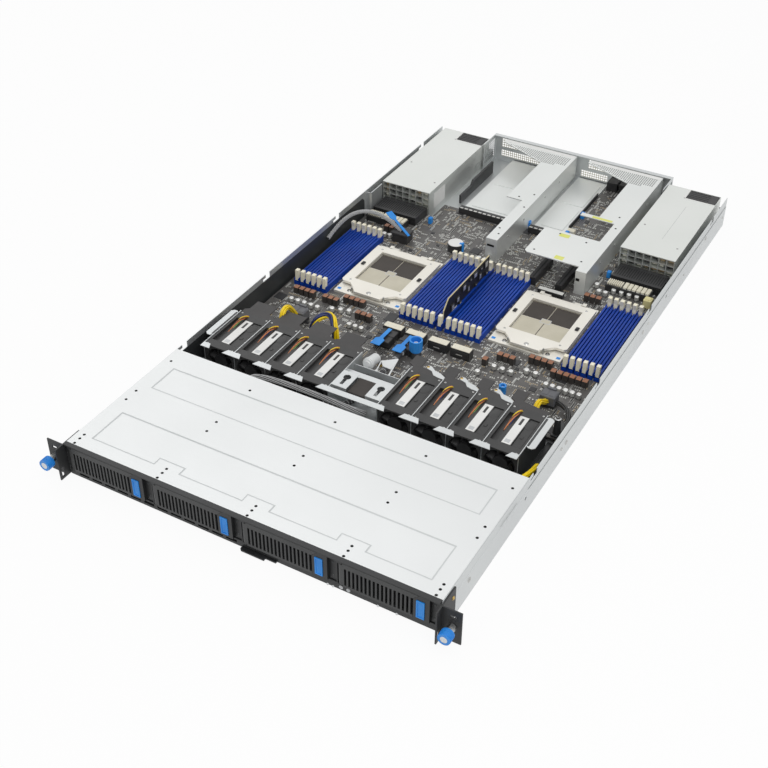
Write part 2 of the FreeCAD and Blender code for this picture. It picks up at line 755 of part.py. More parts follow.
def carrier_lever(label, step):
    """The grille panel that swings out about its left end to pull the carrier."""
    body = new_body(label)
    back = f"{FACE} + lever_thick"
    low = f"({BAY_LOW} + gap)"
    high = f"({BAY_HIGH} - gap)"
    panel = [
        (f"{LEVER_AXIS_X} + lug_radius + gap", low), (LEVER_RIGHT, low),
        (LEVER_RIGHT, f"{BAY_LOW} + lever_shoulder"), (f"{LEVER_RIGHT} + lever_nose - gap", high),
        (f"{LEVER_AXIS_X} + lug_radius + gap", high),
    ]
    pad(body, "XZ", [panel], FACE, back)
    barrel_low = f"{BAY_LOW} + lug_height + gap"
    barrel_high = f"{BAY_HIGH} - lug_height - gap"
    round_end = [
        (f"{LEVER_AXIS_X} + lug_radius + 1", FACE), (f"{LEVER_AXIS_X} + lug_radius + 1", back),
        (f"{LEVER_AXIS_X} + 0.4", back), (f"{LEVER_AXIS_X} - 1.3", f"{back} - 0.5"),
        (f"{LEVER_AXIS_X} - 2", f"{back} - 1.5"), (f"{LEVER_AXIS_X} - 2", f"{FACE} + 1.5"),
        (f"{LEVER_AXIS_X} - 1.3", f"{FACE} + 0.5"), (f"{LEVER_AXIS_X} + 0.4", FACE),
    ]
    pad(body, "XY", [round_end], barrel_low, barrel_high)
    pin = polygon(LEVER_AXIS_X, LEVER_AXIS_Y, "hinge_pin_radius", 8)
    pad(body, "XY", [pin], f"{BAY_LOW} + gap", f"{BAY_HIGH} - gap")
    first = f"{LEVER_AXIS_X} + lug_radius + 2"
    slot = pocket(body, "XZ", [rect(first, f"{first} + grille_slot", f"{BAY_LOW} + grille_low",
                                    f"{BAY_LOW} + grille_high")], f"{FACE} - 1", f"{back} + 1")
    repeat(body, slot, "X", "grille_pitch", "grille_slots")
    place(body, bay_middle(step))
    return node(label, body)


def release_button(label, step):
    """The push button that frees the lever."""
    body = new_body(label)
    outline = rect(f"{BUTTON_X} - button_width / 2", f"{BUTTON_X} + button_width / 2",
                   f"{BUTTON_Z} - button_height / 2", f"{BUTTON_Z} + button_height / 2")
    pad(body, "XZ", [outline], f"{FACE} - button_proud", f"{PLATE_FRONT} - gap")
    face_recess = rect(f"{BUTTON_X} - button_width / 2 + 1.5", f"{BUTTON_X} + button_width / 2 - 1.5",
                       f"{BUTTON_Z} - button_height / 2 + 1.5", f"{BUTTON_Z} + button_height / 2 - 1.5")
    pocket(body, "XZ", [face_recess], f"{FACE} - button_proud - 1", f"{FACE} - button_proud + 0.5")
    place(body, bay_middle(step))
    return node(label, body)


# Boards at the front: drive backplane with a connector for each bay, and the front panel board

def front_boards():
    board = new_body("backplane")
    start = f"({FRONT} + backplane_start)"
    loops = [rect(f"2 - {INNER}", f"{INNER} - 2", "wall", f"{RIM} - 2")]
    for step in range(4):
        middle = bay_middle(step)
        loops.append(rect(f"{middle} - 38", f"{middle} + 38", "wall + 26", f"{RIM} - 6"))
    pad(board, "XZ", loops, start, f"{start} + pcb_sheet")
    members = [board]
    for step in range(4):
        middle = bay_middle(step)
        members.append(block((f"{middle} - 21", f"{middle} + 21"), (f"{start} - 6", start),
                             (f"{BAY_FLOOR} + 4", f"{BAY_FLOOR} + 10")))
    panel_start = f"{FRONT} + 6.4"
    members.append(block(("control_x - 12", "control_x + 76"), (panel_start, f"{panel_start} + pcb_sheet"),
                         ("wall", "shelf_z - 0.6")))
    return group("front_boards", members)


# Fans: bracket with dividers and clip tabs, frames, rotors and the shield behind them

def fan_side_start(side):
    """Inner divider of a fan group, on its centre line."""
    return f"(bracket_x + {side} * bracket_half)"


def fan_middle(side, step):
    return f"({fan_side_start(side)} + {side} * ({step} + 0.5) * {FAN_PITCH})"


def divider_middles():
    """All fan dividers from right to left."""
    right = [f"({fan_side_start('1')} + {step} * {FAN_PITCH})" for step in (4, 3, 2, 1, 0)]
    left = [f"({fan_side_start('-1')} - {step} * {FAN_PITCH})" for step in (0, 1, 2, 3, 4)]
    return right + left


def fan_bracket():
    body = new_body("fan_bracket")
    half = "bracket_sheet / 2"
    middles = divider_middles()
    outline = [(f"{middles[-1]} - {half}", "wall"), (f"{middles[0]} + {half}", "wall")]
    for index, x in enumerate(middles):
        if index > 0:
            outline.append((f"{x} + {half}", FAN_FLOOR))
        outline += [(f"{x} + {half}", DIVIDER_TOP), (f"{x} - {half}", DIVIDER_TOP)]
        if index < len(middles) - 1:
            outline.append((f"{x} - {half}", FAN_FLOOR))
    pad(body, "XZ", [outline], FAN_FRONT, FAN_BACK)
    tab_low = f"({DIVIDER_TOP} - bracket_sheet)"
    for index, x in enumerate(middles):
        reach_left = half if index == 4 else "tab_half"
        reach_right = half if index == 5 else "tab_half"
        if index == 0:
            reach_right = half
        if index == len(middles) - 1:
            reach_left = half
        tab_front = f"{FAN_FRONT} - tab_reach"
        tab_root = f"{FAN_FRONT} + 2"
        tab = [
            (f"{x} - {reach_left}", tab_front), (f"{x} + {reach_right}", tab_front),
            (f"{x} + {reach_right} * 0.7", tab_root), (f"{x} - {reach_left} * 0.7", tab_root),
        ]
        pad(body, "XY", [tab], tab_low, DIVIDER_TOP)
    left = fan_side_start("-1")
    right = fan_side_start("1")
    cable_way = rect("bracket_x - 20", "bracket_x + 6", "wall + 6", "wall + 26")
    pad(body, "XZ", [rect(left, right, "wall", f"{FAN_TOP} - 4"), cable_way],
        f"{FAN_FRONT} + 45", f"{FAN_FRONT} + 45 + bracket_sheet")
    pad(body, "XY", [rect(left, right, f"{FAN_FRONT} + 37", f"{FAN_FRONT} + 45.8")],
        f"{FAN_TOP} - 4 - bracket_sheet", f"{FAN_TOP} - 4")
    front_tie = rect(left, right, f"{FAN_FRONT} - tab_reach", f"{FAN_FRONT} + 2")
    pad(body, "XY", [front_tie], tab_low, DIVIDER_TOP)
    for start, end in ((left, f"{left} + 19"), (f"{right} - 19", right)):
        middle = f"(({start}) + ({end})) / 2"
        keyhole = polygon(middle, f"{FAN_FRONT} + 26", "4.5", 12)
        slot = rect(f"{middle} - 2", f"{middle} + 2", f"{FAN_FRONT} + 12", f"{FAN_FRONT} + 20")
        pad(body, "XY", [rect(start, end, f"{FAN_FRONT} + 7", f"{FAN_FRONT} + 36"), keyhole, slot],
            tab_low, DIVIDER_TOP)
        pad(body, "XZ", [rect(start, end, f"{FAN_TOP} - 10", DIVIDER_TOP)],
            f"{FAN_FRONT} + 7", f"{FAN_FRONT} + 7 + bracket_sheet")
    for x, side in ((middles[0], "1"), (middles[-1], "-1")):
        low, high = (x, f"{x} + 10") if side == "1" else (f"{x} - 10", x)
        near, far = f"{FAN_FRONT} + 16", f"{FAN_FRONT} + 72"
        bar = [
            (low, f"{near} + 3"), (f"{low} + 3", near), (f"{high} - 3", near), (high, f"{near} + 3"),
            (high, f"{far} - 3"), (f"{high} - 3", far), (f"{low} + 3", far), (low, f"{far} - 3"),
        ]
        pad(body, "XY", [bar], tab_low, DIVIDER_TOP)
    return node("fan_bracket", body)


FAN_SIDES = (("-1", (3, 2, 1, 0)), ("1", (0, 1, 2, 3)))


def fan_places():
    """Middles of the fans from left to right."""
    return [fan_middle(side, step) for side, steps in FAN_SIDES for step in steps]


def fan_frames():
    body = new_body("fan_frame")
    half = "fan_width / 2"
    ring = polygon("0", "0", "fan_bore_radius", 16)
    middle = "fan_height / 2"
    pad(body, "XZ", [rect(f"0 - {half}", half, f"0 - {middle}", middle), ring], "0", "fan_length")
    hub_end = "(rotor_length + fan_hub_gap + fan_hub_length)"
    hub = polygon("0", "0", "fan_hub_radius", 8)
    reach = "(fan_bore_radius + 0.5)"
    pad(body, "XZ", [hub], "rotor_length + fan_hub_gap", hub_end)
    for strut in (rect(f"0 - {reach}", reach, "0 - fan_strut / 2", "fan_strut / 2"),
                  rect("0 - fan_strut / 2", "fan_strut / 2", f"0 - {reach}", reach)):
        pad(body, "XZ", [strut], f"{hub_end} - fan_strut", hub_end)
    relief = []
    edge = f"({half} - 2.6)"
    for low, high in ((f"0 - {edge}", "0 - 9.5"), ("6.5", edge)):
        relief.append(rect(low, high, "12", "62"))
    pocket(body, "XY", relief, f"{middle} - 4", f"{middle} + 1")
    places = [(x, FAN_FRONT, FAN_AXIS_Z) for x in fan_places()]
    return group("fan_frames", copies(body, places))


def fan_rotor(label, x, y, z, tip_radius, turned=0):
    """A motor cup with pitched blades around it, running close to the hub of its frame."""
    body = new_body(label)
    hub = "fan_hub_radius"
    pad(body, "XZ", [polygon("0", "0", hub, 10)], "2", "rotor_length")
    sweep = "blade_sweep / 2"
    blade = [
        (f"0 - {sweep} - blade_sheet", "4"), (f"blade_sheet - {sweep}", "4"),
        (f"{sweep} + blade_sheet", "rotor_length - 1"), (f"{sweep} - blade_sheet", "rotor_length - 1"),
    ]
    vane = pad(body, "XY", [blade], f"{hub} - 2", tip_radius)
    around(body, vane, "Y", "blade_count")
    body.Placement.Rotation = FreeCAD.Rotation(FreeCAD.Vector(0, 0, 1), turned)
    place(body, x, y, z)
    return node(label, body)


def air_shield():
    """Black sheet with a tongue behind each fan, one for each fan group."""
    members = []
    for side, steps in FAN_SIDES:
        body = new_body("air_shield_half")
        middles = [fan_middle(side, step) for step in steps]
        back = f"{FAN_BACK}"
        outline = [(f"{middles[0]} - fan_width / 2", back), (f"{middles[-1]} + fan_width / 2", back)]
        near, far = ("15", "13") if side == "-1" else ("27", "0 - 12")
        for x in reversed(middles):
            outline += [
                (f"{x} + fan_width / 2", f"{back} + 6"), (f"{x} + {far}", f"{back} + 10"),
                (f"{x} + {far}", f"{back} + tongue_reach"), (f"{x} - {near}", f"{back} + tongue_reach"),
                (f"{x} - {near}", f"{back} + 10"), (f"{x} - fan_width / 2", f"{back} + 6"),
            ]
        pad(body, "XY", [outline], f"{FAN_TOP} - 1", FAN_TOP)
        pad(body, "XZ", [rect(f"{middles[0]} - fan_width / 2", f"{middles[-1]} + fan_width / 2",
                              f"{FAN_TOP} - 3.5", FAN_TOP)], back, f"{back} + 1")
        members.append(body)
    return group("air_shield", members)


# Main board: full width below the memory, narrower between the power supplies, with a tail at the ports

BOARD_LOW = "(wall + standoff_height)"


def main_board():
    body = new_body("main_board")
    side = f"({INNER} - board_margin)"
    start = f"({FRONT} + board_start)"
    wide_end = f"({FRONT} + board_wide_end)"
    mid_end = f"({REAR} - board_mid_end)"
    outline = [
        (f"0 - {side}", start), (side, start), (side, wide_end), ("board_mid_half", wide_end),
        ("board_mid_half", f"{BACK} - board_tail_end"), ("board_tail_left", f"{BACK} - board_tail_end"),
        ("board_tail_left", mid_end), ("0 - board_mid_half", mid_end), ("0 - board_mid_half", wide_end),
        (f"0 - {side}", wide_end),
    ]
    pad(body, "XY", [outline], BOARD_LOW, BOARD)
    return node("main_board", body)


# Processor sockets and the hinged frames that press the processors down

SOCKET_FRONT = f"({FRONT} + socket_start)"
HINGE_Y = f"({SOCKET_FRONT} + socket_length - 4)"
HINGE_Z = f"({BOARD} + socket_base + hinge_radius + 0.4)"
LOAD_LOW = f"({BOARD} + socket_base + socket_field + gap)"


def processor_sockets():
    body = new_body("processor_socket")
    half = "socket_width / 2"
    plate = rect(f"0 - {half}", half, "0", "socket_length")
    pad(body, "XY", [plate], "0", "socket_base")
    field_start = "(socket_length - 4 - window_rear - window_length)"
    field = rect("1 - window_width / 2", "window_width / 2 - 1", f"{field_start} + 1",
                 f"{field_start} + window_length - 1")
    pad(body, "XY", [field], "socket_base", "socket_base + socket_field")
    for low, high in (("0 - hinge_inset - 5", "0 - hinge_inset"), ("hinge_inset", "hinge_inset + 5")):
        knuckle = rect("socket_length - 4 - hinge_radius", "socket_length", "0",
                       "socket_base + 2 * hinge_radius + 0.4")
        bore = polygon("socket_length - 4", "socket_base + hinge_radius + 0.4",
                       "(hinge_pin + pin_clear) * 1.083", 8)
        pad(body, "YZ", [knuckle, bore], low, high)
    places = [("0 - socket_x", SOCKET_FRONT, BOARD), ("socket_x", SOCKET_FRONT, BOARD)]
    return group("processor_sockets", copies(body, places))


def load_frame(label, side):
    """Window frame on a rear hinge, with a front tongue for its closing screw."""
    body = new_body(label)
    half = "socket_width / 2"
    rear = f"({HINGE_Y} - hinge_radius - hinge_clear)"
    front = f"({HINGE_Y} - load_frame_length)"
    shoulder = "(tongue_half + 9)"
    outline = [
        (f"0 - {half}", rear), (f"0 - {half}", f"{front} + 3"), (f"3 - {half}", front),
        (f"0 - {shoulder}", front), ("0 - tongue_half", f"{front} - 8"),
        ("6 - tongue_half", f"{front} - tongue_out"), ("tongue_half - 6", f"{front} - tongue_out"),
        ("tongue_half", f"{front} - 8"), (shoulder, front), (f"{half} - 3", front),
        (half, f"{front} + 3"), (half, rear),
    ]
    window_end = f"({HINGE_Y} - window_rear)"
    window = rect("0 - window_width / 2", "window_width / 2", f"{window_end} - window_length", window_end)
    pad(body, "XY", [outline, window], LOAD_LOW, f"{LOAD_LOW} + load_frame_sheet")
    for low, high in (("gap - hinge_inset", "10 - hinge_inset"), ("hinge_inset - 10", "hinge_inset - gap")):
        arm = [
            (f"{rear} - 1", f"{HINGE_Z} - 0.5"), (f"{HINGE_Y} - 1", f"{HINGE_Z} - hinge_radius"),
            (f"{HINGE_Y} + 1", f"{HINGE_Z} - hinge_radius"), (f"{HINGE_Y} + hinge_radius", HINGE_Z),
            (f"{HINGE_Y} + 1", f"{HINGE_Z} + hinge_radius"),
            (f"{rear} - 1", f"{LOAD_LOW} + load_frame_sheet"),
        ]
        pad(body, "YZ", [arm], low, high)
    for low, high in (("0 - hinge_inset - 3", "1 - hinge_inset"), ("hinge_inset - 1", "hinge_inset + 3")):
        pad(body, "YZ", [polygon(HINGE_Y, HINGE_Z, "hinge_pin", 8)], low, high)
    place(body, f"{side} * socket_x")
    return node(label, body)


# Memory sockets with a latch at each end, and the card in the socket between the middle banks

SLOT_FRONT = f"({FRONT} + slot_start)"
SLOT_BACK = f"({SLOT_FRONT} + slot_length)"
BANKS = {
    "left": ("0 - bank_outer", "0 - bank_inner_left"),
    "right": ("bank_inner_right", "bank_outer - (slots_per_bank - 1) * slot_pitch"),
}


def bank_places(side):
    """Middles of one processor's memory sockets."""
    return [f"{start} + {step} * slot_pitch" for start in BANKS[side] for step in range(6)]


def memory_slots():
    body = new_body("memory_slot")
    half = "slot_width / 2"
    pad(body, "XY", [rect(f"0 - {half}", half, "0", "slot_length")], "0", "slot_height")
    key = "(groove_width / 2)"
    room = "(latch_width / 2 + gap)"
    near = "(latch_depth + gap)"
    far = f"(slot_length - {near})"
    groove = [
        (f"0 - {room}", "0 - 1"), (room, "0 - 1"), (room, near), (key, near), (key, far), (room, far),
        (room, "slot_length + 1"), (f"0 - {room}", "slot_length + 1"), (f"0 - {room}", far),
        (f"0 - {key}", far), (f"0 - {key}", near), (f"0 - {room}", near),
    ]
    pocket(body, "XY", [groove], "slot_height - groove_depth", "slot_height + 1")
    places = [(x, SLOT_FRONT, BOARD) for x in bank_places("left") + ["card_slot_x"] + bank_places("right")]
    return group("memory_slots", copies(body, places))


def memory_latch(end):
    """A latch arm seen from its side; the front one leans on the module's front edge."""
    body = new_body(f"memory_latch_{end}")
    sign = "1" if end == "front" else "-1"
    profile = []
    for y, z in (("1", "5.6"), ("2.5", "4.6"), ("6", "4.6"), ("5.6", "13"), ("7", "latch_height"),
                 ("1.5", "latch_height")):
        profile.append((f"{sign} * {y}", z))
    pad(body, "YZ", [profile], "0 - latch_width / 2", "latch_width / 2")
    return body


def memory_latches():
    for end, y in (("front", SLOT_FRONT), ("rear", SLOT_BACK)):
        latch = memory_latch(end)
        for side in ("left", "right"):
            middles = bank_places(side)
            if side == "left":
                middles = middles + ["card_slot_x"]
            places = [(x, y, BOARD) for x in middles]
            group(f"memory_latches_{end}_{side}", copies(latch, places))


def centre_card():
    body = new_body("centre_card")
    low = f"({BOARD} + slot_height - groove_depth + gap)"
    start = f"({SLOT_FRONT} + latch_depth + 3)"
    end = f"({SLOT_BACK} - latch_depth - 3)"
    top = f"({low} + card_height)"
    outline = [
        (start, low), (end, low), (end, top), (f"{start} + card_corner", top),
        (start, f"{top} - card_corner"),
    ]
    pad(body, "YZ", [outline], "card_slot_x - card_sheet / 2", "card_slot_x + card_sheet / 2")
    return node("centre_card", body)


# Board components: connectors, plugs, coin cell and rear ports

def board_connectors():
    members = []

    def seat(x, y, width, length, height):
        members.append(block((x, f"{x} + {width}"), (y, f"{y} + {length}"), (BOARD, f"{BOARD} + {height}")))

    row = f"{FRONT} + 374"
    for x in ("0 - 55", "0 - 25", "6", "36"):
        seat(x, row, "25", "11", "12")
    for x in ("0 - 165", "165"):
        seat(x, f"{FRONT} + plug_row", "17", "14", "15")
    for x in ("0 - 208", "142"):
        seat(x, f"{FRONT} + board_wide_end - 36", "66", "34", "12")
        seat(x, f"{FRONT} + board_wide_end - 56", "58", "16", "9")
    for x in ("52", "88"):
        seat(x, f"{FRONT} + 562", "9", "58", "11")
    seat("0 - 150", f"{FRONT} + 566", "22", "16", "14")
    seat("70", f"{FRONT} + 549", "34", "7", "6")
    for x, width in (("0 - 106", "74"), ("0 - 1", "42")):
        seat(x, f"{REAR} - board_mid_end - 12", width, "9", "9")
    for x, width in PORTS:
        members.append(block((x, f"{x} + {width}"), (f"{BACK} - 22", BACK), (BOARD, PORT_HIGH)))
    cell = new_body("coin_cell")
    pad(cell, "XY", [circle("0 - 66", f"{FRONT} + 588", "10.5")], BOARD, f"{BOARD} + 11")
    members.append(cell)
    return group("board_connectors", members)


def power_chokes():
    """Rows of regulator chokes in front of and behind the processors."""
    rows = (
        ("0 - 196", "394", 4), ("0 - 154", "394.5", 3), ("0 - 130.6", "406.5", 4),
        ("0 - 100.5", "384", 3), ("76", "376", 1), ("87.3", "393", 3), ("121.8", "406.5", 4),
        ("154.5", "394", 6), ("128", "559.5", 3), ("0 - 172", "582", 3),
    )
    members = []
    for x, y, count in rows:
        for step in range(count):
            low = f"{x} + {step} * choke_pitch"
            members.append(block((low, f"{low} + 6"), (f"{FRONT} + {y}", f"{FRONT} + {y} + 7"),
                                 (BOARD, f"{BOARD} + 9.5")))
    return group("power_chokes", members)


# Knobs on the board: a cup knob and a small captive post, each on its stud

def board_knob(label, x, y, radius, height):
    body = new_body(label)
    pad(body, "XY", [polygon("0", "0", f"{radius} - 1.5", 16)], "gap", f"{height} * 0.45")
    pad(body, "XY", [polygon("0", "0", radius, 16)], f"{height} * 0.45", height)
    pocket(body, "XY", [polygon("0", "0", f"{radius} - 1.8", 12)], f"{height} - 7", f"{height} + 1")
    place(body, x, y, BOARD)
    return node(label, body)


# Power supplies: case with a vented inner end, rear fan, handle, mains inlet and release latch

def power_supply(side):
    edge = PSU_EDGE[side]
    start = f"({REAR} - psu_length)"
    top = "(wall + psu_height)"
    right = f"({edge} + psu_width)"
    body = new_body(f"psu_{side}_case")
    pad(body, "XZ", [rect(edge, right, "wall", top)], start, REAR)
    cell_width = "((psu_width - 2 * psu_sheet - 6) / 7)"
    cell_height = "((psu_height - 14 - 2 * psu_sheet - 2) / 3)"
    for level in ("0", "1", "2"):
        low = f"(wall + 14 + psu_sheet + {level} * ({cell_height} + 1))"
        cell = rect(f"{edge} + psu_sheet", f"{edge} + psu_sheet + {cell_width}",
                    low, f"{low} + {cell_height}")
        window = pocket(body, "XZ", [cell], f"{start} - 1", f"{start} + psu_grid_depth")
        repeat(body, window, "X", f"{cell_width} + 1", "7")
    fan_x = f"({right} - psu_fan_x)"
    fan_z = "(wall + psu_height / 2)"
    pocket(body, "XZ", [circle(fan_x, fan_z, "psu_fan_radius")], f"{REAR} - psu_fan_depth", f"{REAR} + 1")
    corner = rect(f"{fan_x} - psu_fan_radius", f"{right} - psu_sheet / 2",
                  f"{REAR} - psu_fan_depth", f"{REAR} - psu_sheet / 2")
    pocket(body, "XY", [corner], f"{top} - psu_sheet", f"{top} + 1")
    pocket(body, "XZ", [rect(f"{edge} + 5", f"{edge} + 25", "wall + 6", "wall + 33")],
           f"{REAR} - 10", f"{REAR} + 1")
    pad(body, "XZ", [polygon(fan_x, fan_z, "fan_hub_radius", 12)], f"{REAR} - psu_fan_depth - 1",
        f"{REAR} - 2 - rotor_length - fan_hub_gap")
    latch_low = "(wall + 4)"
    pocket(body, "YZ", [rect(f"{REAR} - psu_latch_length - gap", f"{REAR} + 1", f"{latch_low} - gap",
                             f"{latch_low} + psu_latch_height + gap")],
           f"{right} - psu_latch_sheet - psu_latch_travel - gap", f"{right} + 1")
    handle = new_body(f"psu_{side}_handle")
    out = "psu_handle_out"
    bar = [
        ("0", "6"), (f"{out} - 4", "6"), (out, "10"), (out, "24"), (f"{out} - 4", "28"), ("0", "28"),
        ("0", "24.5"), (f"{out} - 5.5", "24.5"), (f"{out} - 3.5", "22.5"), (f"{out} - 3.5", "11.5"),
        (f"{out} - 5.5", "9.5"), ("0", "9.5"),
    ]
    pad(handle, "YZ", [bar], "0", "3.6")
    place(handle, f"{edge} + 26.4", REAR)
    group(f"psu_{side}", [body, handle])
    latch = new_body(f"psu_{side}_latch")
    plate = [
        (f"{right} - psu_latch_sheet", f"{REAR} - psu_latch_length"), (right, f"{REAR} - psu_latch_length"),
        (right, f"{REAR} - 8"), (f"{right} + 0.9", f"{REAR} - 6"), (f"{right} + 0.9", f"{REAR} - 4"),
        (right, f"{REAR} - 4"), (right, f"{REAR} + 16"), (f"{right} - 6", f"{REAR} + 16"),
        (f"{right} - 6", f"{REAR} + 13"), (f"{right} - psu_latch_sheet", f"{REAR} + 10"),
    ]
    pad(latch, "XY", [plate], latch_low, f"{latch_low} + psu_latch_height")
    node(f"psu_{side}_latch", latch)
    fan_rotor(f"psu_{side}_rotor", fan_x, f"{REAR} - 2", fan_z,
              "psu_fan_radius - rotor_tip_gap", 180)


# Risers: folded bracket with a card and its slot, lifted out as one

def left_riser():
    x = "left_riser_x"
    low = BOARD
    rear = f"({REAR} - riser_rear)"
    front = f"({rear} - left_riser_length)"
    bracket = new_body("left_riser_bracket")
    pad(bracket, "YZ", [rect(front, f"{BACK} - gusset_clear", low, "riser_top")], f"{x} - riser_sheet", x)
    gusset_end = f"({BACK} - gusset_clear)"
    tip = f"({LEFT_WINDOW[0]} + gusset_side)"
    plate = [
        (x, front), (x, gusset_end), (f"{tip} + 3", gusset_end), (tip, f"{gusset_end} - 3"),
        (tip, f"{gusset_end} - gusset_bar"), (f"{x} - left_plate_width", rear),
        (f"{x} - left_plate_width", f"{rear} - riser_plate_length"),
        (f"{x} - left_bar_width", f"{rear} - riser_plate_length"), (f"{x} - left_bar_width", front),
    ]
    pad(bracket, "XY", [plate], "riser_top - riser_sheet", "riser_top")
    pad(bracket, "XZ", [rect(f"{x} - left_bar_width", x, low, "riser_top")],
        front, f"{front} + riser_sheet")
    card_x = f"({x} - riser_sheet - pcb_sheet)"
    card = block((card_x, f"{x} - riser_sheet"), (f"{rear} - 108", f"{rear} - 6"), (low, "riser_top - 4"))
    slot = block((f"{card_x} - 10", card_x), (f"{rear} - 100", f"{rear} - 12"),
                 (f"{low} + 14", f"{low} + 22"))
    return group("left_riser", [bracket, card, slot])


def right_riser():
    x = "right_riser_x"
    low = BOARD
    rear = f"({REAR} - riser_rear + 3)"
    front = f"({rear} - right_riser_length)"
    bracket = new_body("right_riser_bracket")
    pad(bracket, "YZ", [rect(front, f"{BACK} - gusset_clear", low, "riser_top")], f"{x} - riser_sheet", x)
    mid_start = f"({FRONT} + body_depth / 2 + mid_plate_start)"
    mid_end = f"({mid_start} + mid_plate_length)"
    plate_start = f"({rear} - riser_plate_length)"
    gusset_end = f"({BACK} - gusset_clear)"
    tip = f"({RIGHT_WINDOW[0]} + gusset_side / 2)"
    strip_left = f"{x} - right_plate_width - 24"
    plates = [
        (x, front), (x, gusset_end), (f"{tip} + 3", gusset_end), (tip, f"{gusset_end} - 3"),
        (tip, f"{gusset_end} - gusset_bar"), (f"{x} - right_plate_width", rear),
        (f"{x} - right_plate_width", f"{plate_start} + 8"), (strip_left, f"{plate_start} + 8"),
        (strip_left, plate_start), (f"{x} - 14", plate_start), (f"{x} - 14", mid_end),
        (f"{x} - mid_plate_width", mid_end),
        (f"{x} - mid_plate_width", f"{mid_start} + 4"), (f"{x} - mid_plate_width + 4", mid_start),
        (f"{x} - 14", mid_start), (f"{x} - 14", front),
    ]
    pad(bracket, "XY", [plates], "riser_top - riser_sheet", "riser_top")
    pad(bracket, "XZ", [rect(f"{x} - 14", x, low, "riser_top")], front, f"{front} + riser_sheet")
    card_x = f"({x} - riser_sheet - pcb_sheet)"
    card = block((card_x, f"{x} - riser_sheet"), (f"{rear} - 108", f"{rear} - 6"), (low, "riser_top - 4"))
    slot = block((f"{card_x} - 10", card_x), (f"{rear} - 100", f"{rear} - 12"),
                 (f"{low} + 14", f"{low} + 22"))
    return group("right_riser", [bracket, card, slot])


# Card trays: low galvanised shelves with raised panels under the card bays, and a guide beside each

def card_trays():
    members = []
    for low, high in (("0 - 108", "left_riser_x - 22"), ("left_riser_x + 4", "board_tail_left - 2")):
        body = new_body("card_tray")
        outline = [
            (low, "wall"), (f"{low} + 1", "wall"), (f"{low} + 1", "tray_height - 1"),
            (f"{high} - 1", "tray_height - 1"), (f"{high} - 1", "wall"), (high, "wall"),
            (high, "tray_height"), (low, "tray_height"),
        ]
        start = f"({REAR} - tray_end + 2)"
        end = f"({BACK} - 3)"
        pad(body, "XZ", [outline], start, end)
        for first, last in (("12", "72"), ("84", "152")):
            pad(body, "XY", [rect(f"{low} + 8", f"{high} - 6", f"{start} + {first}", f"{start} + {last}")],
                "tray_height", "tray_height + tray_lift")
        members.append(body)
    guide = new_body("card_guide")
    start = f"({REAR} - tray_end + 21)"
    end = f"({REAR} - cheek_length - 2)"
    raised = f"{start} + 40"
    profile = [
        (start, "wall"), (end, "wall"), (end, "guide_height"), (raised, "guide_height"),
        (f"{raised} - guide_step", "guide_height - guide_step"), (start, "guide_height - guide_step"),
    ]
    pad(guide, "YZ", [profile], "0 - 121 - guide_sheet", "0 - 121")
    members.append(guide)
    members.append(block(("board_tail_left - 1.8", "board_tail_left - 0.4"), (start, end),
                         ("wall", "low_guide")))
    return group("card_trays", members)


# Leads held inside the chassis: tubes of straight runs joined by tangent arcs

LEAD_SIDES = 6


def lead(points, radius):
    """One lead along a route of corner points: straight runs joined by wide turned bends."""
    corners = [FreeCAD.Vector(*[number(value) for value in point]) for point in points]
    heading = (corners[1] - corners[0]).normalize()
    spoke = heading.cross(FreeCAD.Vector(0.3, 0.5, 0.8)).normalize() * radius
    ring = []
    for side in range(LEAD_SIDES + 1):
        ring.append(corners[0] + FreeCAD.Rotation(heading, 360 * side / LEAD_SIDES).multVec(spoke))
    section = Part.Face(Part.makePolygon(ring))
    here = corners[0]
    runs = []
    for before, corner, after in zip(corners, corners[1:], corners[2:]):
        arriving = (corner - before).normalize()
        leaving = (after - corner).normalize()
        bend = arriving.getAngle(leaving)
        setback = 0.48 * min(corner.distanceToPoint(before), corner.distanceToPoint(after))
        axis = arriving.cross(leaving).normalize()
        bend_start = corner - arriving * setback
        centre = bend_start + axis.cross(arriving) * (setback / math.tan(bend / 2))
        runs.append(section.extrude(bend_start - here))
        section = section.translated(bend_start - here)
        runs.append(section.revolve(centre, axis, math.degrees(bend)))
        section = section.rotated(centre, axis, math.degrees(bend))
        here = corner + leaving * setback
    runs.append(section.extrude(corners[-1] - here))
    whole = doc.addObject("Part::Feature", "Lead")
    whole.Shape = runs[0].multiFuse(runs[1:])
    return whole


def internal_cables():
    """Arched plug lead, side lead to the drive backplane, and a sleeve through the fan bracket."""
    backplane = f"{FRONT} + backplane_start + pcb_sheet"
    plug_y = f"{FRONT} + 323"
    arch = [
        ("0 - 124", plug_y, BOARD), ("0 - 124", plug_y, f"{BOARD} + 24"),
        ("0 - 108", f"{FRONT} + 343", f"{BOARD} + 32"), ("0 - 90", plug_y, f"{BOARD} + 24"),
        ("0 - 90", plug_y, BOARD),
    ]
    side = f"{INNER} - 5.8"
    side_lead = [
        ("182", f"{FRONT} + 347", f"{BOARD} + 7"), (side, f"{FRONT} + 347", f"{BOARD} + 7"),
        (side, f"{FRONT} + 200", "28"), ("188", f"{FRONT} + 184", "28"), ("188", backplane, "28"),
    ]
    sleeve = [
        ("0 - 118", backplane, "28"), ("0 - 118", f"{FRONT} + 194", "28"),
        ("0 - 12", f"{FRONT} + 198", "28"),
        ("0 - 12", f"{FRONT} + 262", f"{BOARD} + 7"), ("0 - 12", f"{FRONT} + 374", f"{BOARD} + 7"),
    ]
    routes = ((arch, 4.5), (side_lead, 3.0), (sleeve, 4.0))
    return group("internal_cables", [lead(route, radius) for route, radius in routes])


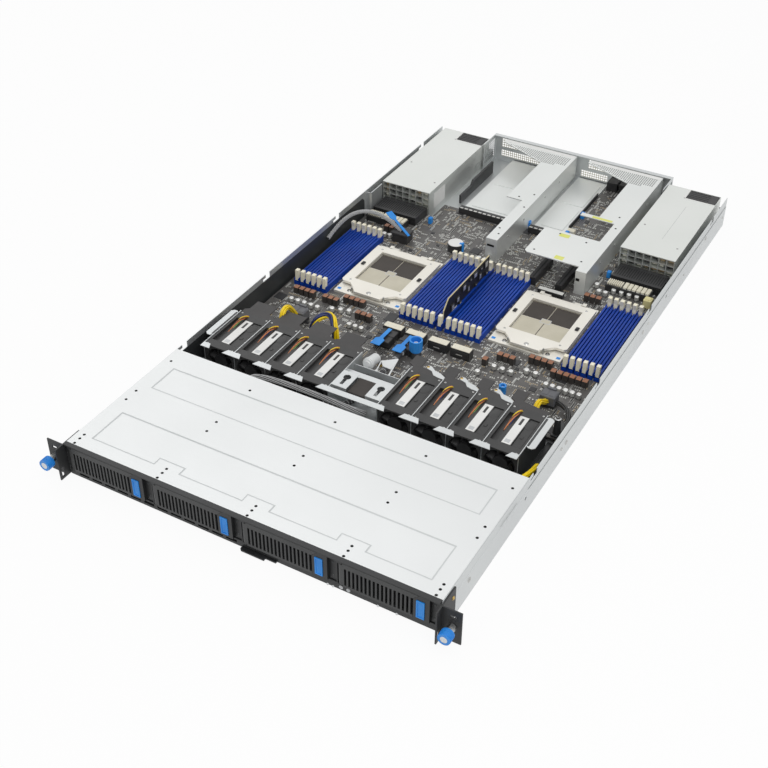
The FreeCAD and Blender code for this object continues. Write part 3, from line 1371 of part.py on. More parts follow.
chassis_tray()
rear_panel()
front_cover()
drive_cage()
front_frame()
control_button("power_button", "0")
control_button("locate_button", "1")
asset_tag()
for name, sign in (("left", "-1"), ("right", "1")):
    rack_ear(f"{name}_ear", sign)
    thumbscrew(f"{name}_thumbscrew", sign)
for bay in range(4):
    drive_carrier(f"drive_carrier_{bay + 1}", bay)
    carrier_lever(f"carrier_lever_{bay + 1}", bay)
    release_button(f"release_button_{bay + 1}", bay)
front_boards()
fan_bracket()
fan_frames()
for index, middle in enumerate(fan_places()):
    fan_rotor(f"fan_rotor_{index + 1}", middle, FAN_FRONT, FAN_AXIS_Z,
              "fan_bore_radius - rotor_tip_gap")
air_shield()
main_board()
processor_sockets()
load_frame("load_frame_left", "-1")
load_frame("load_frame_right", "1")
memory_slots()
memory_latches()
centre_card()
board_connectors()
power_chokes()
board_knob("big_knob", "2", f"{FRONT} + 352", "big_knob_radius", "big_knob_height")
board_knob("small_knob", "124", f"{FRONT} + 330", "small_knob_radius", "small_knob_height")
power_supply("left")
power_supply("right")
left_riser()
right_riser()
card_trays()
internal_cables()

doc.recompute()

faults = []
for item in doc.Objects:
    if "Invalid" in item.State or "Error" in item.State:
        faults.append(f"{item.Name} ({item.Label}): {item.State}")
for label, piece in nodes.items():
    shape = piece.Shape
    if shape.isNull() or not shape.isValid() or not shape.Solids:
        faults.append(f"{label}: no valid solid")
if faults:
    raise RuntimeError("; ".join(faults))

os.makedirs("parts", exist_ok=True)
for label, piece in nodes.items():
    piece.Shape.exportStep(f"parts/{label}.step")
print(len(nodes), "nodes written")
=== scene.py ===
import math
import random
import bmesh
import bpy
from mathutils import Matrix, Quaternion, Vector
from mathutils.bvhtree import BVHTree


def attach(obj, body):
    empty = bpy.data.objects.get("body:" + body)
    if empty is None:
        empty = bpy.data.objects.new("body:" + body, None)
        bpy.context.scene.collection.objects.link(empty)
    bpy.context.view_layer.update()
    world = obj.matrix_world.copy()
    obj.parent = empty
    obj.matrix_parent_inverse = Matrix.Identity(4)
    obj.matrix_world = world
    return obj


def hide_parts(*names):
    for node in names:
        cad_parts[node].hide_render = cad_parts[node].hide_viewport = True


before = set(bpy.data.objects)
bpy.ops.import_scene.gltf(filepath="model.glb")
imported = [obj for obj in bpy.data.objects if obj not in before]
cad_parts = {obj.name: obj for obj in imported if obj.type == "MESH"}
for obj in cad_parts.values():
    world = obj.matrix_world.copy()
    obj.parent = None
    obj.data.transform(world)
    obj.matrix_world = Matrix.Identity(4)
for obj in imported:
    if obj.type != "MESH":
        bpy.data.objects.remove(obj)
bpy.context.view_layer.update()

# Tray: the floor and both side walls, bent from one sheet of zinc-coated steel.
# The coat keeps the faint lines of the rolling mill. Pan-head screws in each wall hold the
# cage, the fan bracket and the supplies; the hollows of their heads are painted black as shade.
# A dark film along the inside of the walls beside the board is partly an insulating film and partly
# painted shade, the dark strips on the floor beside the fan bracket are painted shade, and grey
# lines along the outer faces of the walls are painted shade under a pressed crease.
MM = 0.001
UP = (0, 0, 1)
WALL_FACE = 220.0
FILM_FACE = 218.75
FILM_SHEET = 0.25
HEAD_TIP = 0.72
HOLLOW_RIM = 0.34
HOLLOW_WALL = 0.06
HOLLOW_DEPTH = 0.5


def paint(code):
    """The linear colour of a six-digit code."""
    parts = [int(code[start:start + 2], 16) / 255 for start in (0, 2, 4)]
    return [*(part / 12.92 if part <= 0.04045 else ((part + 0.055) / 1.055) ** 2.4 for part in parts), 1.0]


def grow(tree, kind, sockets, **settings):
    """A new shader node, its sockets linked or set."""
    node = tree.nodes.new("ShaderNode" + kind)
    for name, value in settings.items():
        setattr(node, name, value)
    for name, value in sockets.items():
        if isinstance(value, bpy.types.NodeSocket):
            tree.links.new(value, node.inputs[name])
        else:
            node.inputs[name].default_value = value
    return node


def new_effect(name):
    tree = bpy.data.node_groups.new(name, "ShaderNodeTree")
    tree.interface.new_socket("Scale", in_out="INPUT", socket_type="NodeSocketFloat").default_value = 1.0
    tree.interface.new_socket("Mottle", in_out="OUTPUT", socket_type="NodeSocketFloat")
    tree.interface.new_socket("Fine", in_out="OUTPUT", socket_type="NodeSocketFloat")
    entry = tree.nodes.new("NodeGroupInput")
    place = grow(tree, "TexCoord", {})
    grown = grow(tree, "VectorMath", {0: place.outputs["Object"], "Scale": entry.outputs["Scale"]},
                 operation="SCALE")
    return tree, grown.outputs[0]


def end_effect(tree, mottle, fine):
    leave = tree.nodes.new("NodeGroupOutput")
    tree.links.new(mottle, leave.inputs["Mottle"])
    tree.links.new(fine, leave.inputs["Fine"])


zinc_coat, where = new_effect("zinc coat")
cloud = grow(zinc_coat, "TexNoise", {"Vector": where, "Scale": 7.0, "Detail": 2.0, "Roughness": 0.5})
rolled = grow(zinc_coat, "Mapping", {"Vector": where, "Scale": (40.0, 900.0, 900.0)})
lines = grow(zinc_coat, "TexNoise", {"Vector": rolled.outputs[0], "Scale": 1.0, "Detail": 4.0,
                                     "Roughness": 0.7})
end_effect(zinc_coat, cloud.outputs["Fac"], lines.outputs["Fac"])
GRAIN_LOW = 0.25
GRAIN_HIGH = 0.75


def finish(name, effect, dark, light, rough, metal=0.0, relief=0.1, depth=0.0001, scale=1.0, gloss=0.5):
    """A surface between two colours, with its roughness and fine relief from a shared effect."""
    made = bpy.data.materials.new(name)
    made.use_nodes = True
    tree = made.node_tree
    surface = tree.nodes["Principled BSDF"]
    surface.inputs["Metallic"].default_value = metal
    surface.inputs["Specular IOR Level"].default_value = gloss
    grain = grow(tree, "Group", {}, node_tree=effect)
    grain.inputs["Scale"].default_value = scale
    tint = grow(tree, "ValToRGB", {"Fac": grain.outputs["Mottle"]})
    tint.color_ramp.elements[0].position = GRAIN_LOW
    tint.color_ramp.elements[1].position = GRAIN_HIGH
    tint.color_ramp.elements[0].color = paint(dark)
    tint.color_ramp.elements[1].color = paint(light)
    dull = grow(tree, "MapRange", {"Value": grain.outputs["Fine"], "From Min": GRAIN_LOW,
                                   "From Max": GRAIN_HIGH, "To Min": rough[0], "To Max": rough[1]})
    bumps = grow(tree, "Bump", {"Height": grain.outputs["Fine"], "Strength": relief, "Distance": depth})
    tree.links.new(tint.outputs["Color"], surface.inputs["Base Color"])
    tree.links.new(dull.outputs[0], surface.inputs["Roughness"])
    tree.links.new(bumps.outputs[0], surface.inputs["Normal"])
    return made


def dress(coat, *names):
    for name in names:
        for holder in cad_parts[name].material_slots:
            holder.material = coat


def faces_at(corners):
    return {face for corner in corners for face in corner.link_faces}


def coat_faces(corners, coat):
    for face in faces_at(corners):
        face.material_index = coat


def rod(shape, place, radius, long, coat=0, sides=16, tip=None):
    """A round bar about the upright axis of its place, tapered where the tip has a radius of its own."""
    end = radius if tip is None else tip
    corners = bmesh.ops.create_cone(shape, cap_ends=True, segments=sides, radius1=radius * MM,
                                    radius2=end * MM, depth=long * MM, matrix=place)["verts"]
    coat_faces(corners, coat)
    return corners


def screw_head(shape, seat, out, radius, rise, coat=0, hollow=None):
    """A tapered head on its seat, with a hollow in the middle of its top."""
    turn = Vector(UP).rotation_difference(Vector(out)).to_matrix().to_4x4()
    place = Matrix.Translation(Vector(seat) * MM) @ turn @ Matrix.Translation((0, 0, rise * MM / 2))
    corners = rod(shape, place, radius, rise, tip=radius * HEAD_TIP)
    top = max(faces_at(corners), key=lambda face: face.calc_center_median().dot(Vector(out)))
    bmesh.ops.inset_region(shape, faces=[top], thickness=radius * HOLLOW_RIM * MM, depth=0)
    bmesh.ops.inset_region(shape, faces=[top], thickness=radius * HOLLOW_WALL * MM,
                           depth=-rise * HOLLOW_DEPTH * MM)
    for face in faces_at(corners) | {top}:
        face.material_index = coat
    if hollow is not None:
        top.material_index = hollow


def plate(shape, corners, shift, coat=0):
    """A flat outline given its thickness."""
    face = shape.faces.new([shape.verts.new(Vector(corner) * MM) for corner in corners])
    grown = bmesh.ops.extrude_face_region(shape, geom=[face])["geom"]
    moved = [part for part in grown if isinstance(part, bmesh.types.BMVert)]
    bmesh.ops.translate(shape, verts=moved, vec=Vector(shift) * MM)
    for side in faces_at(moved) | {face}:
        side.material_index = coat


def block(shape, low, high, coat=0, ease=0.0):
    """A block between two corners, its edges eased where a width is given."""
    size = (Vector(high) - Vector(low)) * MM
    place = Matrix.Translation((Vector(low) + Vector(high)) * MM / 2) @ Matrix.Diagonal((*size, 1))
    corners = bmesh.ops.create_cube(shape, size=1, matrix=place)["verts"]
    coat_faces(corners, coat)
    if ease:
        edges = list({edge for corner in corners for edge in corner.link_edges})
        bmesh.ops.bevel(shape, geom=edges, offset=ease * MM, offset_type="OFFSET", segments=1, profile=0.5,
                        affect="EDGES", material=-1, clamp_overlap=True)


def piece(name, shape, coats, body):
    """A finished shape becomes a piece that rides on one body."""
    mesh = bpy.data.meshes.new(name)
    bmesh.ops.recalc_face_normals(shape, faces=shape.faces)
    shape.to_mesh(mesh)
    shape.free()
    mesh.shade_smooth()
    mesh.set_sharp_from_angle(angle=math.radians(32))
    for coat in coats:
        mesh.materials.append(coat)
    made = bpy.data.objects.new(name, mesh)
    bpy.context.scene.collection.objects.link(made)
    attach(made, body)


zinc_sheet = finish("zinc sheet", zinc_coat, "c6c9ca", "d0d3d3", (0.34, 0.46), metal=0.7, relief=0.05)
screw_steel = finish("screw steel", zinc_coat, "9a9b9a", "c6c6c3", (0.25, 0.4), metal=1.0, relief=0.03,
                     scale=4.0)
# A dark colour that is partly insulating film and partly painted shade on walls, floor and bracket ends.
film_and_painted_shade = finish("insulating film and painted shade", zinc_coat, "303233", "3c3e3f", (0.3, 0.42), relief=0.02)
# Black painted shade for the inside of hollows, slots and holes.
hollow_shade_black = finish("painted hollow shade", zinc_coat, "08090a", "0f1011", (0.6, 0.8), relief=0.0)
seam_grey = finish("seam shade", zinc_coat, "a6a9a8", "b6b9b8", (0.4, 0.55), metal=0.3, relief=0.05)
dress(zinc_sheet, "chassis_tray")
# Screw heads on both walls, the hollow in each top painted black as shade.
wall_screws = bmesh.new()
for y, z, radius in ((-366.7, 21.6, 3.2), (-148.0, 18.2, 2.2), (-135.3, 18.3, 3.2), (98.5, 17.4, 3.2),
                     (116.7, 19.1, 2.0), (334.5, 24.0, 3.0), (411.0, 17.0, 1.8), (250.0, 14.0, 1.4)):
    for side in (-1, 1):
        screw_head(wall_screws, (side * WALL_FACE, y, z), (side, 0, 0), radius, 0.8, 0, 1)
# Grey lines along the outer face of each wall: painted shade under a pressed crease.
for side in (-1, 1):
    near, far = sorted((side * (WALL_FACE - 0.1), side * (WALL_FACE + 0.12)))
    block(wall_screws, (near, -234.0, 29.7), (far, 420.0, 30.15), 2)
    block(wall_screws, (near, -300.0, 33.2), (far, -262.0, 33.5), 2)
piece("wall_screws", wall_screws, [screw_steel, hollow_shade_black, seam_grey], "chassis")
# Dark sheets inside both walls are partly an insulating film and partly painted shade; the strips on the
# floor beside the fan bracket are painted shade only.
film_and_shade_sheets = bmesh.new()
for side, inner_edge in ((-1, 201.9), (1, 195.9)):
    outline = ((-264, 3), (188, 3), (188, 30), (183, 35), (-226, 35), (-231, 30), (-264, 30))
    plate(film_and_shade_sheets, [(side * FILM_FACE, y, z) for y, z in outline], (-side * FILM_SHEET, 0, 0))
    near, far = sorted((side * inner_edge, side * 218.4))
    block(film_and_shade_sheets, (near, -262.0, 1.2), (far, -126.0, 1.4))
piece("wall_film_and_shade_sheets", film_and_shade_sheets, [film_and_painted_shade], "chassis")

# Rear wall and card trays: punched zinc sheet, screwed to the tray's floor between the supplies.
# Perforated plates close the card windows and vents, and the ports of the board show through
# the wall in nickel shells. The trays are held by countersunk screws.
vent_sheet = finish("slot cover sheet", zinc_coat, "bdb9a2", "cfccba", (0.34, 0.46), metal=0.7, relief=0.05)
shell_nickel = finish("port shell", zinc_coat, "b5b4ae", "d2d1cb", (0.2, 0.32), metal=1.0, relief=0.02)
dress(zinc_sheet, "rear_panel")


def perforated(shape, corner, along, up, columns, rows, pitch, hole, thick, coat=0):
    """A plate punched with square holes in rows, from one corner along two directions."""
    first, second = Vector(along), Vector(up)
    middle = Vector(corner) + first * columns * pitch / 2 + second * rows * pitch / 2
    turn = Matrix((first, second, first.cross(second))).transposed().to_4x4()
    spread = Matrix.Diagonal((columns * pitch * MM, rows * pitch * MM, 1, 1))
    corners = bmesh.ops.create_grid(shape, x_segments=columns, y_segments=rows, size=0.5,
                                    matrix=Matrix.Translation(middle * MM) @ turn @ spread)["verts"]
    cells = list(faces_at(corners))
    bars = bmesh.ops.inset_individual(shape, faces=cells, thickness=(pitch - hole) / 2 * MM)["faces"]
    bmesh.ops.delete(shape, geom=cells, context="FACES")
    for bar in bars:
        bar.material_index = coat
    bmesh.ops.solidify(shape, geom=bars, thickness=thick * MM)


def two_coats(name, effect, near, far, axis, place, metals=(0.0, 0.0), rough=(0.3, 0.45), middle=None):
    """Colours change at one place along an axis, or at one distance on both sides of a middle."""
    made = finish(name, effect, *near, rough, relief=0.1)
    tree = made.node_tree
    surface = tree.nodes["Principled BSDF"]
    spot = grow(tree, "TexCoord", {})
    split = grow(tree, "SeparateXYZ", {"Vector": spot.outputs["Object"]})
    along = split.outputs[axis]
    if middle is not None:
        along = grow(tree, "Math", {0: along, 1: -middle * MM}, operation="ADD").outputs[0]
        along = grow(tree, "Math", {0: along}, operation="ABSOLUTE").outputs[0]
    past = grow(tree, "Math", {0: along, 1: place * MM}, operation="GREATER_THAN")
    grain = grow(tree, "Group", {"Scale": 1.0}, node_tree=effect)
    other = grow(tree, "ValToRGB", {"Fac": grain.outputs["Mottle"]})
    other.color_ramp.elements[0].color = paint(far[0])
    other.color_ramp.elements[1].color = paint(far[1])
    first = surface.inputs["Base Color"].links[0].from_socket
    mixed = grow(tree, "Mix", {0: past.outputs[0], 6: first, 7: other.outputs["Color"]}, data_type="RGBA")
    tree.links.new(mixed.outputs[2], surface.inputs["Base Color"])
    if metals[0] != metals[1]:
        shine = grow(tree, "MapRange", {"Value": past.outputs[0], "To Min": metals[0], "To Max": metals[1]})
        tree.links.new(shine.outputs[0], surface.inputs["Metallic"])
    return made


tray_coat = two_coats("card tray sheet and dark guides", zinc_coat, ("dfe2e0", "ebedeb"),
                      ("262728", "333435"), 0, 79.0, metals=(0.6, 0.0), middle=-36.0)
dress(tray_coat, "card_trays")
VENT_Y = 440.3
vents = bmesh.new()
for x, z, columns, rows, pitch, hole in ((-127.6, 24.0, 30, 4, 3.5, 2.5), (10.4, 24.0, 30, 4, 3.5, 2.5),
                                         (-127.0, 9.5, 33, 3, 3.33, 2.4), (0.5, 9.5, 12, 3, 3.33, 2.4)):
    perforated(vents, (x, VENT_Y, z), (1, 0, 0), UP, columns, rows, pitch, hole, 0.6)
for x in (-138.6, 135.2):
    perforated(vents, (x, 402.4, 8.2), (0, 1, 0), UP, 10, 9, 3.45, 2.5, 0.5, 1)
piece("rear_vents", vents, [vent_sheet, zinc_sheet], "chassis")
# Each shell's opening is a shallow recess painted black as shade.
shells = bmesh.new()
for left, right in ((48.0, 63.0), (66.0, 82.0), (86.0, 117.0)):
    before = set(shells.faces)
    block(shells, (left + 0.2, 441.0, 8.2), (right - 0.2, 442.3, 21.3))
    rear = max(set(shells.faces) - before, key=lambda face: face.calc_center_median().y)
    bmesh.ops.inset_region(shells, faces=[rear], thickness=1.3 * MM, depth=0)
    bmesh.ops.inset_region(shells, faces=[rear], thickness=0.1 * MM, depth=-0.9 * MM)
    rear.material_index = 1
piece("port_shells", shells, [shell_nickel, hollow_shade_black], "chassis")
tray_screws = bmesh.new()
for x, y in ((-101.0, 279.0), (-35.0, 279.0), (-101.0, 420.0), (-35.0, 420.0), (3.0, 279.0), (37.0, 279.0),
             (20.0, 425.0)):
    screw_head(tray_screws, (x, y, 2.0), UP, 2.2, 0.6)
piece("tray_screws", tray_screws, [screw_steel], "chassis")

# Drive cage and front cover: zinc sheet, the cover pressed with long ribs and pinned to the cage.
# Each pin leaves a small dimple in the cover, in a row over every wall between two bays; the dimples are
# painted near black as the shade of their holes.
cover_sheet = finish("cover sheet", zinc_coat, "dddfdf", "e4e6e6", (0.36, 0.46), metal=0.35, relief=0.04)
# The slopes round the pressed panels are real slopes in a darker grey copy of the cover sheet: painted shade.
slope_painted_shade = finish("pressed slope", zinc_coat, "c6caca", "d0d3d3", (0.5, 0.6), relief=0.04, gloss=0.2)
hole_shade_dark = finish("painted hole shade", zinc_coat, "0c0c0c", "1a1a1a", (0.5, 0.65), relief=0.05, gloss=0.2)
dress(zinc_sheet, "drive_cage")
dress(cover_sheet, "front_cover")
COVER_TOP = 43.6
RIB_END = 199.5
slopes = bmesh.new()
notches = [corner for x in (-103.0, 5.0, 113.0)
           for corner in ((x - 15, -403), (x - 15, -393), (x + 15, -393), (x + 15, -403))]
for outline in (((-RIB_END, -305), (RIB_END, -305), (RIB_END, -264), (-RIB_END, -264)),
                ((-RIB_END, -403), *notches, (RIB_END, -403), (RIB_END, -353), (-RIB_END, -353))):
    corners = [slopes.verts.new(Vector((x, y, COVER_TOP + 0.02)) * MM) for x, y in outline]
    pressed = slopes.faces.new(corners)
    pressed.normal_update()
    bmesh.ops.inset_region(slopes, faces=[pressed], thickness=1.6 * MM, depth=-0.38 * MM, use_boundary=True,
                           use_even_offset=True)
    bmesh.ops.delete(slopes, geom=[pressed], context="FACES")
piece("cover_slopes", slopes, [slope_painted_shade], "chassis")
# Pin dimples, painted near black as the shade of their holes.
rivets = bmesh.new()
for x in (-210.0, -103.0, 5.5, 114.0, 211.0):
    for y in (-417.0, -409.0, -402.0, -334.0, -317.0, -255.0):
        screw_head(rivets, (x, y, COVER_TOP - 0.05), UP, 1.7, 0.3)
piece("cover_rivets", rivets, [hole_shade_dark], "chassis")

# Front frame: moulded in black plastic with a fine spark-eroded texture, clipped into the tray.
# It carries the lamps and buttons of the front panel, and the tag slides in its floor.
moulded_grain, where = new_effect("moulded grain")
speck = grow(moulded_grain, "TexNoise", {"Vector": where, "Scale": 2400.0, "Detail": 2.0, "Roughness": 0.6})
drift = grow(moulded_grain, "TexNoise", {"Vector": where, "Scale": 30.0, "Detail": 4.0, "Roughness": 0.65})
end_effect(moulded_grain, drift.outputs["Fac"], speck.outputs["Fac"])
black_mould = finish("black mould", moulded_grain, "232425", "2e2f30", (0.42, 0.6), relief=0.25)
lens_white = finish("lamp lens", moulded_grain, "d5d8da", "eef0f0", (0.15, 0.3), relief=0.02)
button_grey = finish("button grey", moulded_grain, "b9bcbe", "d3d5d6", (0.3, 0.45), relief=0.1)
tag_mould = finish("tag mould", moulded_grain, "1b1c1e", "2a2b2d", (0.4, 0.55), relief=0.15)
dress(black_mould, "front_frame")
dress(button_grey, "power_button", "locate_button")
dress(tag_mould, "asset_tag")
FORWARD = (0, -1, 0)
LAMP_FACE = -424.35
lamps = bmesh.new()
for x, z in ((100.0, 5.6), (106.0, 5.6), (155.0, 5.4), (175.0, 5.4)):
    screw_head(lamps, (x, LAMP_FACE, z), FORWARD, 1.3, 0.7)
piece("front_lamps", lamps, [lens_white], "chassis")

# Rack ears: folded steel with a black powder coat, screwed to the tray's side walls.
# Each holds a captive thumbscrew: a ribbed blue knob on a nickel ferrule, its white face slotted.
ear_coat = finish("ear powder coat", moulded_grain, "1f2021", "2b2c2d", (0.45, 0.62), relief=0.3)
brass = finish("brass", zinc_coat, "a58a4c", "c9ab66", (0.25, 0.4), metal=1.0, relief=0.03)
dress(ear_coat, "left_ear", "right_ear")
ear_screws = bmesh.new()
for side in (-1, 1):
    for z in (12.0, 32.0):
        screw_head(ear_screws, (side * 221.5, -403.0, z), (side, 0, 0), 2.2, 0.9)
piece("ear_screws", ear_screws, [brass], "chassis")
BLUES = ("2280d4", "389aee")
blue_mould = finish("blue mould", moulded_grain, *BLUES, (0.3, 0.45), relief=0.12, gloss=0.35)
screw_coat = two_coats("thumbscrew knob and ferrule", moulded_grain, BLUES, ("a9abab", "cfd0cf"), 1, -433.45,
                       metals=(0.0, 1.0))
dress(screw_coat, "left_thumbscrew", "right_thumbscrew")
KNOB_Z = 21.8
RIB_RADIUS = 6.45
RIB_COUNT = 28
for side, x in (("left", -232.55), ("right", 232.55)):
    face = bmesh.new()
    screw_head(face, (x, -442.75, KNOB_Z), FORWARD, 4.2, 0.5)
    for step in range(RIB_COUNT):
        angle = math.tau * step / RIB_COUNT
        spot = Vector((x + RIB_RADIUS * math.cos(angle), -438.2, KNOB_Z + RIB_RADIUS * math.sin(angle)))
        form = Matrix.Rotation(-angle, 4, "Y") @ Matrix.Diagonal((0.5 * MM, 7.6 * MM, 0.75 * MM, 1))
        rib = bmesh.ops.create_cube(face, size=1, matrix=Matrix.Translation(spot * MM) @ form)["verts"]
        coat_faces(rib, 1)
    piece(f"{side}_screw_face", face, [lens_white, blue_mould], f"{side}_thumbscrew")

# Drive carriers: moulded frames with a grille lever and a blue release button.
# A smoked light pipe ends in the recess beside each button.
carrier_mould = finish("carrier mould", moulded_grain, "1b1c1d", "272829", (0.38, 0.55), relief=0.22)
lever_mould = finish("lever mould", moulded_grain, "2b2c2d", "383939", (0.36, 0.52), relief=0.22)
lens_smoke = finish("smoked lens", moulded_grain, "3c3e40", "4c4e50", (0.15, 0.3), relief=0.02)
BAY_PITCH = 108.6
for number in range(1, 5):
    dress(carrier_mould, f"drive_carrier_{number}")
    dress(lever_mould, f"carrier_lever_{number}")
    dress(blue_mould, f"release_button_{number}")
    middle = (number - 2.5) * BAY_PITCH
    pipes = bmesh.new()
    for z in (16.0, 33.5):
        screw_head(pipes, (middle + 49.4, -419.9, z), FORWARD, 1.2, 0.6)
    piece(f"light_pipes_{number}", pipes, [lens_smoke], f"drive_carrier_{number}")

# Drive backplane and front panel board: dark laminate, screwed behind the bays.
# Copper tracks show as fine lines under the solder mask, with tinned pads between.
board_print, where = new_effect("board print")
tracks = grow(board_print, "TexBrick", {"Vector": where, "Scale": 120.0, "Mortar Size": 0.03,
                                        "Brick Width": 1.7, "Row Height": 0.55,
                                        "Color1": (0.35, 0.35, 0.35, 1), "Color2": (0.6, 0.6, 0.6, 1),
                                        "Mortar": (1, 1, 1, 1)})
blotch = grow(board_print, "TexNoise", {"Vector": where, "Scale": 45.0, "Detail": 4.0, "Roughness": 0.6})
printed = grow(board_print, "Math", {0: tracks.outputs["Fac"], 1: 0.3, 2: blotch.outputs["Fac"]},
               operation="MULTIPLY_ADD")
end_effect(board_print, printed.outputs[0], tracks.outputs["Fac"])
laminate = finish("board laminate", board_print, "4b4947", "666462", (0.35, 0.5), relief=0.12)
dress(laminate, "front_boards", "main_board")

# Fans: a zinc bracket with dividers, eight dark fan frames and rotors, and the air shield behind.
# A blank white strip lies on each frame, and its leads run back under the shield. The bracket's
# centre holds foam between keyhole tabs, and a wall, a roll and a clip; dark sheets on its ends
# and flanges are painted shade, and black patches on its top are painted shade standing for slots.
fan_mould = finish("fan mould", moulded_grain, "2d2d2d", "3a3a3a", (0.42, 0.6), relief=0.2)
rotor_mould = finish("rotor mould", moulded_grain, "1f1f20", "2c2c2d", (0.35, 0.5), relief=0.15)
shield_mould = finish("shield mould", moulded_grain, "363535", "413f3f", (0.5, 0.66), relief=0.2)
strip_white = finish("blank strip", moulded_grain, "e2e2df", "efefed", (0.4, 0.5), relief=0.05)
foam_grey = finish("foam", moulded_grain, "393533", "4a4643", (0.8, 0.95), relief=0.6, scale=0.5)
clip_white = finish("white clip", moulded_grain, "d3d6d6", "e6e8e8", (0.25, 0.4), relief=0.05)
dress(zinc_sheet, "fan_bracket")
dress(fan_mould, "fan_frames")
dress(rotor_mould, *(f"fan_rotor_{number}" for number in range(1, 9)))
dress(shield_mould, "air_shield")
FAN_MIDDLES = (-180.3, -138.5, -96.7, -54.9, 48.9, 90.7, 132.5, 174.3)
FAN_TOP = 40.95
strips = bmesh.new()
for x in FAN_MIDDLES:
    block(strips, (x - 4.6, -194.0, FAN_TOP), (x + 5.6, -145.0, 41.25), 0, 0.1)
    block(strips, (x - 0.9, -160.0, 41.2), (x + 1.9, -148.5, 41.32), 1)
    block(strips, (x - 2.6, -192.0, 41.2), (x + 3.4, -186.5, 41.3), 2)
    block(strips, (x + 6.7, -193.6, 36.9), (x + 17.2, -145.0, 40.1), 1, 0.5)
    dome = Matrix.Translation(Vector((x + 10.5, -155.0, 40.0)) * MM) @ Matrix.Diagonal((1.0, 1.2, 0.16, 1.0))
    swell = bmesh.ops.create_uvsphere(strips, u_segments=20, v_segments=8, radius=6.6 * MM, matrix=dome)
    coat_faces(swell["verts"], 1)
    block(strips, (x + 9.2, -179.0, 40.0), (x + 12.6, -174.5, 40.8), 1, 0.3)
    for y in (-203.5, -134.0):
        for reach in (-17.0, 17.0):
            screw_head(strips, (x + reach, y, FAN_TOP), UP, 1.5, 0.35, 1)
piece("fan_strips", strips, [strip_white, fan_mould, button_grey], "chassis")
bracket_bits = bmesh.new()
block(bracket_bits, (-14.8, -198.0, 32.3), (8.8, -169.5, 38.6), 0, 0.8)
block(bracket_bits, (-33.4, -149.5, 28.0), (27.4, -148.7, 37.0), 2)
lean = Matrix.Translation(Vector((-21.0, -132.5, 34.5)) * MM) @ Matrix.Rotation(math.radians(78), 4, "X")
for radius, long, shift in ((6.2, 20.0, 0.0), (7.0, 3.0, 7.0), (4.0, 24.0, 0.0)):
    rod(bracket_bits, lean @ Matrix.Translation((0, 0, shift * MM)), radius, long, 1)
for outline in (((-6.6, -149.0, 37.0), (-5.4, -149.0, 37.0), (-6.8, -133.7, 41.0), (-8.0, -133.7, 41.0)),
                ((9.6, -149.0, 37.0), (11.4, -149.0, 37.0), (7.8, -121.5, 41.0), (6.0, -121.5, 41.0)),
                ((-7.4, -133.7, 41.0), (7.0, -121.5, 41.0), (8.2, -140.3, 39.0), (-2.3, -140.2, 39.6))):
    plate(bracket_bits, outline, (0, 0, -0.6), 1)
screw_head(bracket_bits, (-19.7, -116.0, 18.0), UP, 3.4, 2.2, 3)
# Black patches on the bracket top are painted shade standing for slots.
for x in (-24.5, 18.5):
    block(bracket_bits, (x - 2.0, -187.0, 41.9), (x + 2.0, -180.0, 42.35), 4)
TAB_OUTLINE = ((-0.4, -131.0), (-0.4, -127.0), (-8.0, -122.5), (-15.0, -121.5), (-22.0, -116.0),
               (-26.5, -115.5), (-28.5, -118.5), (-25.5, -121.5), (-18.5, -123.5), (-14.0, -129.0),
               (-8.0, -130.5))
for divider in (69.8, 111.6, 153.4):
    plate(bracket_bits, [(divider + x, y, 41.02) for x, y in TAB_OUTLINE], (0, 0, 0.6), 2)
    screw_head(bracket_bits, (divider - 25.8, -118.2, 41.6), UP, 2.0, 0.5, 3)
# Dark sheets on both ends of the bracket and on their top flanges are painted shade.
for end in (-201.62, 195.62):
    for wide, front, rear, low, high in ((0.25, -206.0, -131.5, 1.5, 40.9),
                                         (2.6, -187.5, -137.0, 42.05, 42.2)):
        near, far = sorted((end, end + math.copysign(wide, end)))
        block(bracket_bits, (near, front, low), (far, rear, high), 5)
BOARD_TOP = 8.0
STAND_OFF = (202.0, -118.0)
# A dark base and a tall dark post stand on the stand-off beside the right wall, in the same dark colour; the
# hollow of the white screw on top is painted black as shade.
block(bracket_bits, (197.0, -124.0, BOARD_TOP), (212.5, -97.0, 11.0), 5, 0.6)
screw_head(bracket_bits, (*STAND_OFF, 11.0), UP, 4.4, 20.0, 5)
screw_head(bracket_bits, (*STAND_OFF, 31.0), UP, 3.6, 0.8, 1, 4)
piece("bracket_bits", bracket_bits, [foam_grey, clip_white, zinc_sheet, brass, hollow_shade_black, film_and_painted_shade],
      "chassis")


def laid(route):
    """Points along the smooth line of a route, read from its spline."""
    curve = bpy.data.curves.new("laid_route", "CURVE")
    curve.dimensions = "3D"
    spline = curve.splines.new("NURBS")
    spline.points.add(len(route) - 1)
    for knot, place in zip(spline.points, route):
        knot.co = (*(Vector(place) * MM), 1)
    spline.order_u = 3
    spline.use_endpoint_u = True
    spline.resolution_u = 10
    holder = bpy.data.objects.new("laid_route", curve)
    line = bpy.data.meshes.new_from_object(holder)
    points = [corner.co.copy() for corner in line.vertices]
    bpy.data.objects.remove(holder)
    bpy.data.meshes.remove(line)
    bpy.data.curves.remove(curve)
    return points


